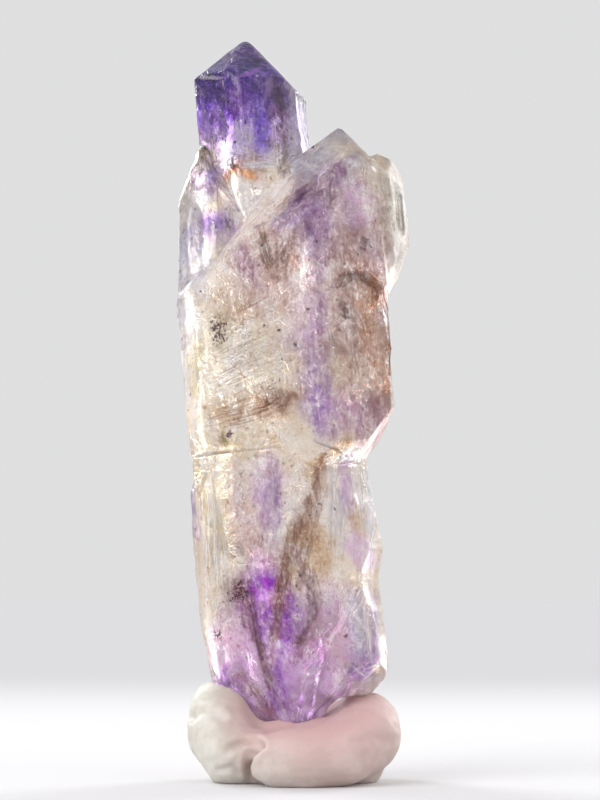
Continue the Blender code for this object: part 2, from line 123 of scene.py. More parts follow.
def linear(screen: tuple[int, int, int]) -> tuple[float, float, float, float]:
    """Turns a screen colour into linear light.

    Args:
        screen: Red, green and blue from 0 to 255.

    Returns:
        Red, green, blue and an alpha of 1, each from 0 to 1.
    """
    parts = [part / 255 for part in screen]
    light = [part / 12.92 if part <= 0.04045 else ((part + 0.055) / 1.055) ** 2.4 for part in parts]
    return (light[0], light[1], light[2], 1.0)


@dataclass(frozen=True)
class GrowthFrame:
    """The crystal's own axes: w runs up its length, u to its right and v to its back, from its lower point.

    The specimen leans to the left in its putty, and its head's apex is its highest point, so the frame is found
    from that apex.
    """

    lean: float = 5.0
    apex: Point = (1.4, 2.0, 60.9)
    foot: Point = (-0.38, -0.02, 3.6)

    @classmethod
    def under(cls, top: Vector) -> "GrowthFrame":
        """Finds the frame of the crystal whose apex stands at a place.

        Args:
            top: The apex in the scene, in metres.

        Returns:
            The frame whose foot lies where the lean and the apex put it.
        """
        turned = Matrix.Rotation(-math.radians(cls.lean), 3, "Y") @ Vector(cls.apex)
        foot = top / MM - turned
        return cls(foot=(foot.x, foot.y, foot.z))

    def to_scene(self) -> Matrix:
        """The matrix from growth millimetres to scene metres."""
        turn = Matrix.Rotation(-math.radians(self.lean), 4, "Y")
        return Matrix.Scale(MM, 4) @ Matrix.Translation(Vector(self.foot)) @ turn

    def place(self, point: Point) -> Vector:
        """A growth point's place in the scene, in metres."""
        return self.to_scene() @ Vector(point)


class NodeBench:
    """Adds nodes to one tree and joins them, for shader trees and Geometry Nodes trees alike."""

    def __init__(self, tree: bpy.types.NodeTree) -> None:
        """Starts work on a tree."""
        self.tree = tree
        self.column = 0

    def add(self, kind: str, **settings: Any) -> bpy.types.Node:
        """Adds one node.

        Args:
            kind: The node's type name.
            settings: Attributes of the node to set.

        Returns:
            The new node.
        """
        node = self.tree.nodes.new(kind)
        for name, value in settings.items():
            setattr(node, name, value)
        node.location = (self.column * 180, 0)
        self.column += 1
        return node

    def feed(self, socket: bpy.types.NodeSocket, value: Any) -> None:
        """Links an input to a socket, or sets it to a plain value."""
        if isinstance(value, bpy.types.NodeSocket):
            self.tree.links.new(value, socket)
        else:
            socket.default_value = value

    def sums(self, operation: str, first: Any, second: Any = 0.0, clamp: bool = False) -> bpy.types.NodeSocket:
        """Adds a Math node.

        Args:
            operation: The operation's name.
            first: Its first value or socket.
            second: Its second value or socket.
            clamp: Whether the result stays between 0 and 1.

        Returns:
            The result's socket.
        """
        node = self.add("ShaderNodeMath", operation=operation, use_clamp=clamp)
        self.feed(node.inputs[0], first)
        self.feed(node.inputs[1], second)
        return node.outputs[0]

    def vector(self, operation: str, first: Any, second: Any = None, scale: Any = None) -> bpy.types.Node:
        """Adds a Vector Math node.

        Args:
            operation: The operation's name.
            first: Its first vector.
            second: Its second vector, where it has one.
            scale: Its factor, where it has one.

        Returns:
            The node, because its result may be a vector or a value.
        """
        node = self.add("ShaderNodeVectorMath", operation=operation)
        self.feed(node.inputs[0], first)
        if second is not None:
            self.feed(node.inputs[1], second)
        if scale is not None:
            self.feed(node.inputs["Scale"], scale)
        return node

    def mix(self, factor: Any, first: Any, second: Any, blend: str = "MIX") -> bpy.types.NodeSocket:
        """Adds a Mix node for colours.

        Args:
            factor: How much of the second colour shows.
            first: The first colour.
            second: The second colour.
            blend: The way they mix.

        Returns:
            The mixed colour's socket.
        """
        node = self.add("ShaderNodeMix", data_type="RGBA", blend_type=blend)
        self.feed(node.inputs[0], factor)
        self.feed(node.inputs[6], first)
        self.feed(node.inputs[7], second)
        return node.outputs[2]

    def noise(self, where: Any, scale: Any, detail: float = 2.0, rough: float = 0.5, bend: float = 0.0,
              seed: Any = None) -> bpy.types.Node:
        """Adds a Noise Texture node.

        Args:
            where: The place that it is read at.
            scale: Its scale.
            detail: Its octaves.
            rough: How strong the finer octaves are.
            bend: Its distortion.
            seed: A fourth coordinate that picks the pattern, where it is given.

        Returns:
            The node.
        """
        node = self.add("ShaderNodeTexNoise", noise_dimensions="3D" if seed is None else "4D")
        self.feed(node.inputs["Vector"], where)
        self.feed(node.inputs["Scale"], scale)
        self.feed(node.inputs["Detail"], detail)
        self.feed(node.inputs["Roughness"], rough)
        self.feed(node.inputs["Distortion"], bend)
        if seed is not None:
            self.feed(node.inputs["W"], seed)
        return node

    def range(self, value: Any, low: Any, high: Any, to_low: Any = 0.0, to_high: Any = 1.0,
              smooth: bool = True) -> bpy.types.NodeSocket:
        """Maps a value from one range to another, clamped.

        Args:
            value: The value or socket.
            low: The value that becomes to_low.
            high: The value that becomes to_high.
            to_low: The first result.
            to_high: The last result.
            smooth: Whether the way between is eased.

        Returns:
            The result's socket.
        """
        node = self.add("ShaderNodeMapRange", interpolation_type="SMOOTHSTEP" if smooth else "LINEAR")
        for number, part in enumerate((value, low, high, to_low, to_high)):
            self.feed(node.inputs[number], part)
        return node.outputs[0]

    def stretch(self, where: Any, factors: Point) -> bpy.types.NodeSocket:
        """Multiplies a place by one factor an axis."""
        return self.vector("MULTIPLY", where, factors).outputs[0]


def shader_group(name: str, inputs: Sequence[tuple[str, str, Any]],
                 outputs: Sequence[tuple[str, str]]) -> tuple[bpy.types.NodeTree, NodeBench, Any, Any]:
    """Starts a shader node group.

    Args:
        name: The group's name.
        inputs: Each input's name, kind and plain value (None for a vector).
        outputs: Each output's name and kind.

    Returns:
        The group, a bench for it, its input node's sockets and its output node's sockets.
    """
    group = bpy.data.node_groups.new(name, "ShaderNodeTree")
    for label, kind, value in inputs:
        socket = group.interface.new_socket(label, in_out="INPUT", socket_type=f"NodeSocket{kind}")
        if value is not None:
            socket.default_value = value
    for label, kind in outputs:
        group.interface.new_socket(label, in_out="OUTPUT", socket_type=f"NodeSocket{kind}")
    bench = NodeBench(group)
    entry = bench.add("NodeGroupInput")
    leave = bench.add("NodeGroupOutput")
    return group, bench, entry.outputs, leave.inputs


@dataclass(frozen=True)
class Tint:
    """A cloud of colour in the quartz: an ellipsoid with a soft edge, in growth millimetres.

    lean turns it in the plane of u and w, clockwise as seen from the front; hold is how strong it is, and soft is
    the share of its radius over which it fades.
    """

    hue: Hue
    middle: Point
    reach: Point
    lean: float = 0.0
    hold: float = 0.85
    soft: float = 0.8

    @classmethod
    def line(cls, hue: Hue, start: tuple[float, float], end: tuple[float, float], depth: float, half_width: float,
             hold: float) -> "Tint":
        """Makes a thin straight streak between two places in the plane of u and w.

        Args:
            hue: Its colour.
            start: One end, as u and w.
            end: The other end.
            depth: Its v.
            half_width: Half its width.
            hold: How strong it is.

        Returns:
            The streak.
        """
        across, up = end[0] - start[0], end[1] - start[1]
        middle = ((start[0] + end[0]) / 2, depth, (start[1] + end[1]) / 2)
        reach = (half_width, LINE_DEPTH, math.hypot(across, up) / 2)
        return cls(hue, middle, reach, math.degrees(math.atan2(across, up)), hold, 1.0)

    @property
    def fine(self) -> bool:
        """Whether the cloud is too small for the mesh's own points and is left to the shader."""
        return min(self.reach[0], self.reach[2]) < FINEST_PAINTED

    def cover(self, places: numpy.ndarray) -> numpy.ndarray:
        """How much of the cloud's colour shows at each place.

        Args:
            places: Growth places, one a row.

        Returns:
            A share from 0 to hold for each row.
        """
        angle = math.radians(self.lean)
        away = places - numpy.array(self.middle)
        across = away[:, 0] * math.cos(angle) - away[:, 2] * math.sin(angle)
        up = away[:, 0] * math.sin(angle) + away[:, 2] * math.cos(angle)
        parts = numpy.stack([across, away[:, 1], up], axis=1) / numpy.array(self.reach)
        share = (1.0 + self.soft / 2 - numpy.linalg.norm(parts, axis=1)) / self.soft
        share = numpy.clip(share, 0.0, 1.0)
        return self.hold * share * share * (3.0 - 2.0 * share)


@dataclass(frozen=True)
class Vein:
    """A band of colour near the front faces: its path as u, w and half width, in growth millimetres."""

    hue: Hue
    path: tuple[Point, ...]
    hold: float = 0.7
    soft: float = 1.2
    deepest: float = -0.5

    def cover(self, places: numpy.ndarray) -> numpy.ndarray:
        """How much of the vein's colour shows at each place.

        Args:
            places: Growth places, one a row.

        Returns:
            A share from 0 to hold for each row.
        """
        flat = places[:, (0, 2)]
        nearest = numpy.full(len(places), numpy.inf)
        for start, end in zip(self.path, self.path[1:]):
            along = numpy.array(end[:2]) - numpy.array(start[:2])
            part = numpy.clip((flat - numpy.array(start[:2])) @ along / (along @ along), 0.0, 1.0)
            away = numpy.linalg.norm(flat - numpy.array(start[:2]) - part[:, None] * along, axis=1)
            nearest = numpy.minimum(nearest, away / (start[2] + (end[2] - start[2]) * part))
        share = numpy.clip((1.0 + self.soft / 2 - nearest) / self.soft, 0.0, 1.0)
        shown = numpy.clip(self.deepest - places[:, 1], 0.0, 1.0)
        return self.hold * shown * share * share * (3.0 - 2.0 * share)


HEAD_TINTS = (
    Tint(Hue.VIOLET, (0.3, 2, 55.1), (5.2, 9, 6.2), hold=0.95, soft=0.4),
    Tint(Hue.DUSK, (0.8, 0, 56.6), (4.6, 8, 3.8), hold=0.85),
    Tint(Hue.INDIGO, (-2.6, 0, 57.0), (1.4, 6, 1.8), hold=0.6),
    Tint(Hue.SOFT_VIOLET, (-2.2, 0, 54.0), (1.9, 7, 1.8), hold=0.4),
    Tint(Hue.VIVID_VIOLET, (0.5, 0, 54.6), (1.4, 7, 2.6), hold=0.6),
    Tint(Hue.DUSK, (4.3, 1, 55.3), (2.1, 8, 3.2), lean=15, hold=0.85),
    Tint(Hue.INDIGO, (1.0, 2, 59.4), (5.6, 9, 4.2), lean=-30, hold=1.0, soft=0.5),
    Tint(Hue.BLUE_VIOLET, (1.9, 0, 51.9), (1.6, 8, 2.8), hold=0.9),
    Tint(Hue.PALE_LILAC, (-0.2, 0, 50.6), (1.6, 8, 2.0), hold=0.85),
    Tint(Hue.WHITE, (-0.2, 0, 50.2), (1.5, 8, 1.9), hold=0.75),
    Tint(Hue.PLUM, (4.2, 0, 52.1), (1.0, 7, 3.6), hold=0.6),
    Tint(Hue.DARK_BROWN, (4.5, 0, 51.6), (0.6, 7, 3.4), hold=0.6, soft=1.2),
    Tint(Hue.FROST, (5.9, 2, 52.8), (0.7, 9, 4.2), hold=0.9),
    Tint(Hue.OLIVE, (-3.2, 0, 50.6), (1.3, 8, 2.4), hold=0.85),
    Tint(Hue.SIENNA, (0.4, -1, 48.3), (2.3, 6, 1.1), lean=-15, hold=0.6),
    Tint(Hue.RUST, (-0.6, -1, 48.5), (1.2, 6, 0.55), lean=-15, hold=0.95, soft=1.2),
    Tint(Hue.ORANGE, (0.7, -1, 47.9), (0.8, 5, 0.35), lean=-30, hold=0.85, soft=1.2),
    Tint(Hue.OLIVE, (4.4, 0, 49.4), (0.9, 6, 1.6), hold=0.7),
    Tint(Hue.WHITE, (0.0, 0, 45.9), (1.5, 6, 2.2), lean=25, hold=0.85),
)

BACK_LEFT_TINTS = (
    Tint(Hue.SOFT_VIOLET, (-3.2, 1, 48.0), (1.7, 9, 2.2), hold=0.95),
    Tint(Hue.BLUE_VIOLET, (-3.0, 1, 48.6), (0.8, 8, 1.2), hold=0.6),
    Tint(Hue.FROST, (-4.3, 1, 46.1), (1.7, 8, 1.4), hold=0.8),
    Tint(Hue.LILAC, (-2.4, 1, 43.7), (2.5, 8, 1.5), lean=5, hold=0.9),
    Tint(Hue.BLUE_VIOLET, (-2.1, 1, 43.8), (1.5, 8, 1.1), lean=5, hold=0.5),
    Tint(Hue.PALE_BLUE, (-4.9, 1, 41.4), (1.6, 8, 3.7)),
    Tint(Hue.PALE_BLUE, (-6.2, 1, 33.8), (0.9, 9, 7.0), lean=-7, hold=0.7),
)

FRONT_TINTS = (
    Tint(Hue.SHELL, (5.0, -4, 39.0), (7.0, 7, 8.0), hold=0.8, soft=0.6),
    Tint(Hue.MAUVE, (9.0, -4, 42.4), (4.4, 6, 5.4), hold=0.75, soft=0.6),
    Tint(Hue.PALE_LILAC, (9.6, -4, 44.6), (2.0, 5, 2.2), hold=0.7),
    Tint(Hue.GREY_BLUE, (6.2, -3, 48.8), (3.4, 6, 1.7), lean=33),
    Tint(Hue.GREY_BLUE, (8.6, -3, 50.9), (1.6, 6, 1.1)),
    Tint(Hue.OLIVE, (9.5, -5, 48.0), (2.0, 5, 0.9), lean=-25, hold=0.5),
    Tint(Hue.SIENNA, (8.9, -5, 47.5), (1.2, 5, 0.7), lean=10, hold=0.5),
    Tint(Hue.SOFT_VIOLET, (5.0, -6, 42.0), (2.0, 4, 2.6), hold=0.5),
    Tint(Hue.PLUM, (5.6, -6, 42.6), (1.3, 4, 1.6), hold=0.45),
    Tint(Hue.TAUPE, (9.2, -4, 33.0), (3.1, 8, 8.4), lean=-2, hold=0.8, soft=0.8),
    Tint(Hue.TAUPE, (7.6, -5, 39.6), (2.4, 6, 3.0), lean=10, hold=0.5),
    Tint(Hue.SIENNA, (10.0, -6, 34.0), (1.2, 5, 5.0), hold=0.6),
    Tint(Hue.DARK_BROWN, (7.4, -6, 35.0), (0.65, 4, 0.65), hold=0.7, soft=1.2),
    Tint(Hue.PLUM, (0.0, -5, 40.1), (1.1, 5, 1.8), hold=0.6),
    Tint(Hue.IVORY, (-0.3, -1, 31.6), (5.4, 12, 6.6), hold=0.9, soft=0.6),
    Tint(Hue.MILK, (-1.2, -1, 31.2), (3.6, 12, 4.4), hold=0.9, soft=0.9),
    Tint(Hue.SIENNA, (-1.0, -5, 36.8), (2.8, 5, 1.6), lean=10, hold=0.4, soft=1.2),
    Tint(Hue.ROSE, (1.6, -5, 37.4), (2.0, 5, 2.0), hold=0.5),
    Tint(Hue.LILAC, (3.9, -6, 33.9), (1.7, 4, 2.3), hold=0.4),
    Tint(Hue.TAN, (-1.0, -6, 27.6), (3.6, 4, 1.4), lean=11, hold=0.5),
    Tint(Hue.CREAM, (-1.5, -5, 25.0), (3.3, 6, 1.1), hold=0.7),
    Tint(Hue.SOFT_VIOLET, (5.0, -6, 28.2), (1.3, 5, 3.4), hold=0.75),
    Tint(Hue.VIVID_VIOLET, (5.1, -6, 27.4), (0.7, 5, 1.8), hold=0.35),
    Tint(Hue.ORCHID, (6.6, -6, 26.3), (1.7, 4, 1.8), hold=0.4),
    Tint(Hue.PLUM, (8.4, -5, 26.0), (2.4, 5, 3.0), hold=0.7),
    Tint(Hue.TAN, (5.3, -5, 23.5), (2.3, 4, 0.8), lean=-23, hold=0.8),
    Tint(Hue.FROST, (13.2, -2, 42.9), (1.2, 9, 5.9), lean=-3, hold=0.9, soft=0.6),
    Tint(Hue.OLIVE, (12.4, -2, 43.0), (1.5, 9, 4.6), hold=0.5),
    Tint(Hue.ROSE, (11.9, -2, 31.9), (0.7, 7, 6.8), lean=-2, hold=0.8),
    Tint(Hue.YELLOW_GREEN, (-5.3, -3, 31.3), (0.7, 6, 2.4), hold=0.7),
    Tint(Hue.MOSS, (-2.8, -6, 25.5), (0.5, 3, 0.6), hold=0.9),
    Tint(Hue.OLIVE, (-3.0, -5, 34.6), (1.1, 4, 1.6), lean=15, hold=0.5),
)

STEM_TINTS = (
    Tint(Hue.PALE_LILAC, (1.0, -2, 6.0), (6.5, 9, 7.4), hold=0.85, soft=0.5),
    Tint(Hue.PINK, (-0.2, -1, 7.6), (3.6, 9, 4.4), hold=0.85),
    Tint(Hue.ORCHID, (-0.2, -2, 8.8), (2.0, 7, 3.0), hold=0.55),
    Tint(Hue.CREAM, (-4.3, -2, 19.9), (2.8, 8, 4.3)),
    Tint(Hue.SOFT_VIOLET, (-6.7, 0, 19.8), (0.7, 6, 2.3), hold=0.95),
    Tint(Hue.SHELL, (-1.6, -3, 19.4), (2.2, 7, 4.4), hold=0.8),
    Tint(Hue.LILAC, (0.3, -3, 19.7), (1.5, 7, 5.1), hold=0.8),
    Tint(Hue.SOFT_VIOLET, (0.9, -4, 21.3), (0.5, 5, 3.2), lean=-3, hold=0.5),
    Tint(Hue.WHITE, (2.5, -4, 20.9), (0.8, 5, 2.8), lean=-9, hold=0.8),
    Tint(Hue.WHITE, (6.8, -2, 19.1), (2.6, 8, 4.2), soft=0.7),
    Tint(Hue.LILAC, (6.9, -4, 20.3), (0.65, 6, 2.8), hold=0.8),
    Tint(Hue.TAN, (7.6, -3, 16.9), (0.8, 5, 1.4), hold=0.7),
    Tint(Hue.PALE_LILAC, (7.2, -3, 14.4), (1.2, 5, 1.6), hold=0.8),
    Tint(Hue.TAN, (3.6, -4, 16.0), (1.3, 5, 2.8), lean=-11, hold=0.85),
    Tint(Hue.ROSE, (-0.8, -4, 16.2), (1.8, 5, 1.8), hold=0.7),
    Tint(Hue.VIVID_VIOLET, (-0.7, -4, 12.6), (1.8, 7, 2.7), hold=1.0, soft=0.7),
    Tint(Hue.PINK, (-0.6, -4, 15.0), (1.0, 6, 1.0), hold=0.5),
    Tint(Hue.ORCHID, (0.5, -4, 9.6), (1.7, 6, 3.2), lean=-17, hold=0.95),
    Tint(Hue.VIVID_VIOLET, (0.4, -4, 10.2), (0.8, 6, 1.8), lean=-17, hold=0.7, soft=1.2),
    Tint(Hue.LILAC, (1.7, -4, 9.5), (0.65, 6, 2.3), lean=-19, hold=0.9),
    Tint(Hue.SMOKE, (-3.2, -4, 12.6), (1.2, 5, 1.4), hold=0.6),
    Tint(Hue.PLUM, (-3.2, -4, 11.0), (1.6, 5, 1.4), hold=0.5),
    Tint(Hue.PINK, (-4.0, -3, 7.8), (2.3, 7, 2.6)),
    Tint(Hue.PINK, (3.2, -3, 7.2), (2.6, 8, 3.6), hold=0.95, soft=0.6),
    Tint(Hue.PALE_LILAC, (1.6, -2, 3.6), (3.9, 8, 3.2), hold=0.7, soft=0.6),
    Tint(Hue.LILAC, (-4.2, -3, 4.6), (1.8, 8, 3.0), lean=11),
    Tint(Hue.VIVID_VIOLET, (-4.7, -3, 4.9), (0.7, 6, 1.8), lean=11, hold=0.45),
    Tint(Hue.VIVID_VIOLET, (-0.9, -4, 2.4), (1.1, 5, 1.7), hold=0.55),
    Tint(Hue.PALE_BLUE, (6.4, -6, 8.5), (0.9, 4, 3.3), lean=-11, hold=0.7),
    Tint(Hue.DUSK, (8.1, -4, 9.0), (0.7, 5, 2.8), hold=0.45),
    Tint(Hue.SOFT_VIOLET, (6.9, -4, 5.4), (1.4, 5, 1.3), lean=25, hold=0.7),
)

BRIGHT_LINES = (
    Tint.line(Hue.WHITE, (0.3, 48.8), (3.4, 48.7), -2.5, 0.28, 0.9),
    Tint.line(Hue.ORCHID, (0.8, 57.4), (2.6, 56.5), -2.5, 0.28, 0.6),
    Tint.line(Hue.LILAC, (2.6, 56.5), (3.4, 54.2), -2.5, 0.25, 0.5),
    Tint.line(Hue.WHITE, (-3.1, 56.7), (-0.9, 57.3), -2, 0.16, 0.7),
    Tint.line(Hue.LILAC, (0.6, 57.4), (0.4, 52.9), -2.5, 0.16, 0.5),
    Tint.line(Hue.FROST, (4.0, 47.4), (7.3, 49.3), -5, 0.16, 0.7),
    Tint.line(Hue.FROST, (7.3, 49.3), (9.1, 49.6), -5, 0.16, 0.7),
    Tint.line(Hue.FROST, (9.1, 49.6), (11.1, 46.8), -5, 0.16, 0.7),
    Tint.line(Hue.WHITE, (-0.2, 42.8), (3.6, 46.3), -4, 0.16, 0.6),
    Tint.line(Hue.WHITE, (3.6, 46.3), (7.2, 50.7), -4, 0.16, 0.6),
    Tint.line(Hue.WHITE, (-5.9, 38.3), (-0.2, 42.9), -3, 0.18, 0.7),
    Tint.line(Hue.WHITE, (3.7, 24.8), (6.7, 23.2), -6, 0.2, 0.6),
    Tint.line(Hue.WHITE, (4.8, 8.2), (7.4, 12.5), -5, 0.14, 0.7),
    Tint.line(Hue.WHITE, (7.4, 12.5), (7.1, 5.9), -5, 0.14, 0.7),
    Tint.line(Hue.WHITE, (5.6, 4.3), (7.1, 5.9), -5, 0.12, 0.7),
    Tint.line(Hue.WHITE, (7.1, 5.8), (8.5, 5.4), -4, 0.12, 0.7),
)

ALL_TINTS = STEM_TINTS + BACK_LEFT_TINTS + FRONT_TINTS + HEAD_TINTS

MILKY_ZONES = (
    Tint(Hue.FROST, (13.4, 0, 43.0), (2.8, 14, 7.6), lean=-3, hold=1.0, soft=0.5),
    Tint(Hue.FROST, (-4.6, 1, 42.0), (2.6, 9, 6.0), hold=0.8),
    Tint(Hue.FROST, (-6.4, 0, 32.0), (1.6, 9, 7.0), lean=-5, hold=0.7),
    Tint(Hue.FROST, (9.6, -2, 24.4), (2.6, 9, 2.6), lean=-35, hold=0.8),
    Tint(Hue.FROST, (8.2, 0, 14.4), (1.5, 9, 5.0), hold=0.8),
    Tint(Hue.FROST, (-6.4, 0, 12.0), (1.4, 9, 9.0), lean=5, hold=0.7),
    Tint(Hue.FROST, (6.4, 2, 51.6), (1.0, 9, 4.2), hold=0.5),
)

FRONT_VEINS = (
    Vein(Hue.SOFT_VIOLET, ((9.8, 48.0, 0.6), (7.7, 47.2, 1.3), (5.9, 45.6, 1.4), (4.3, 44.0, 1.0), (2.6, 43.0, 0.7)), 0.6),
    Vein(Hue.PLUM, ((8.6, 47.6, 0.5), (6.6, 46.2, 0.8), (5.2, 44.8, 0.7), (3.0, 43.2, 0.5)), 0.6),
    Vein(Hue.DUSK, ((6.2, 46.4, 0.3), (4.7, 45.1, 0.35), (2.9, 43.9, 0.3), (0.6, 43.2, 0.25)), 0.45),
    Vein(Hue.SOFT_VIOLET, ((5.4, 43.5, 1.3), (5.1, 39.8, 1.0), (5.0, 35.6, 0.9), (5.0, 31.4, 1.1), (4.7, 28.6, 1.4),
                           (5.2, 25.2, 0.9)), 0.42),
    Vein(Hue.PLUM, ((5.9, 43.4, 0.5), (5.6, 39.8, 0.4), (5.5, 34.6, 0.35), (5.5, 30.4, 0.35)), 0.4),
    Vein(Hue.BROWN, ((6.8, 37.4, 0.3), (7.6, 37.9, 0.5), (8.9, 38.1, 0.55), (9.9, 37.7, 0.55), (10.5, 36.8, 0.5),
                     (10.1, 35.2, 0.45), (9.7, 33.2, 0.35)), 0.7, 1.5),
    Vein(Hue.SIENNA, ((10.8, 37.5, 0.5), (9.9, 34.5, 0.6), (9.8, 31.7, 0.6), (10.3, 28.8, 0.5)), 0.6),
    Vein(Hue.SIENNA, ((1.4, 43.0, 0.6), (1.7, 41.0, 1.0), (2.6, 38.9, 1.0), (3.4, 39.9, 0.9), (3.9, 41.6, 0.7)), 0.5, 1.4),
    Vein(Hue.BROWN, ((1.3, 43.0, 0.3), (1.5, 41.0, 0.45), (2.0, 39.0, 0.45), (2.6, 38.3, 0.3)), 0.5, 1.4),
    Vein(Hue.BROWN, ((2.2, 42.6, 0.2), (2.4, 40.8, 0.3), (2.6, 39.0, 0.3)), 0.4, 1.4),
    Vein(Hue.BROWN, ((3.9, 41.6, 0.3), (3.5, 39.7, 0.45), (2.7, 38.3, 0.3)), 0.45, 1.4),
    Vein(Hue.PLUM, ((-0.4, 41.0, 0.5), (0.0, 39.6, 0.65), (0.9, 38.2, 0.4)), 0.6),
    Vein(Hue.SIENNA, ((-2.0, 27.0, 0.4), (-0.5, 27.3, 0.7), (0.9, 27.7, 1.0), (2.2, 28.2, 1.0), (3.6, 28.6, 0.5)), 0.65, 1.5),
    Vein(Hue.BROWN, ((0.4, 27.5, 0.35), (1.2, 27.8, 0.7), (2.0, 28.1, 0.8), (3.0, 28.4, 0.4)), 0.75, 1.6),
)

STEM_VEINS = (
    Vein(Hue.SIENNA, ((4.7, 23.3, 0.4), (4.1, 20.6, 0.6), (3.2, 18.4, 0.9), (2.4, 16.5, 1.1), (1.5, 14.7, 0.9),
                      (0.5, 13.0, 0.5), (-0.1, 11.1, 0.4), (-0.6, 8.7, 0.35), (-0.8, 6.5, 0.35)), 0.55),
    Vein(Hue.BROWN, ((4.7, 23.3, 0.3), (4.0, 20.6, 0.4), (3.0, 18.4, 0.5), (2.0, 16.5, 0.55), (1.1, 14.7, 0.45),
                     (0.5, 13.0, 0.4), (-0.1, 11.1, 0.35), (-0.6, 8.7, 0.35)), 0.7),
    Vein(Hue.PLUM, ((2.1, 15.7, 0.35), (2.8, 13.7, 0.4), (2.9, 12.0, 0.4), (2.3, 10.1, 0.35), (1.3, 8.0, 0.35),
                    (0.9, 6.3, 0.3)), 0.75),
    Vein(Hue.DARK_BROWN, ((2.6, 14.2, 0.3), (3.0, 12.2, 0.35), (2.4, 10.1, 0.3), (1.3, 8.0, 0.25)), 0.45),
    Vein(Hue.PLUM, ((-2.8, 13.6, 1.0), (-2.1, 11.9, 0.8), (-2.0, 10.2, 0.7), (-1.7, 8.5, 0.6), (-1.3, 6.5, 0.5),
                    (-0.8, 4.8, 0.45), (-0.1, 2.3, 0.35)), 0.6),
    Vein(Hue.DARK_BROWN, ((-2.7, 13.3, 0.6), (-2.0, 11.9, 0.45), (-2.0, 10.2, 0.35), (-1.7, 8.5, 0.35),
                          (-1.3, 6.5, 0.3), (-0.8, 4.8, 0.3)), 0.6),
    Vein(Hue.SIENNA, ((-3.9, 5.6, 0.5), (-2.5, 3.8, 0.5), (-1.6, 2.1, 0.45), (-0.7, 0.6, 0.35)), 0.65),
    Vein(Hue.VIVID_VIOLET, ((-0.4, 6.0, 0.4), (-0.3, 4.6, 0.45), (0.1, 3.0, 0.35)), 0.7),
    Vein(Hue.GREY_BLUE, ((6.1, 10.6, 0.8), (6.3, 7.6, 0.9)), 0.6),
    Vein(Hue.DUSK, ((7.6, 12.4, 0.2), (8.0, 9.6, 0.35), (8.1, 6.4, 0.3)), 0.6),
    Vein(Hue.VIVID_VIOLET, ((6.2, 4.6, 0.5), (7.3, 5.2, 0.6), (8.2, 5.9, 0.4)), 0.55),
    Vein(Hue.MILK, ((5.2, 13.4, 0.7), (6.4, 12.6, 0.6)), 0.6),
)


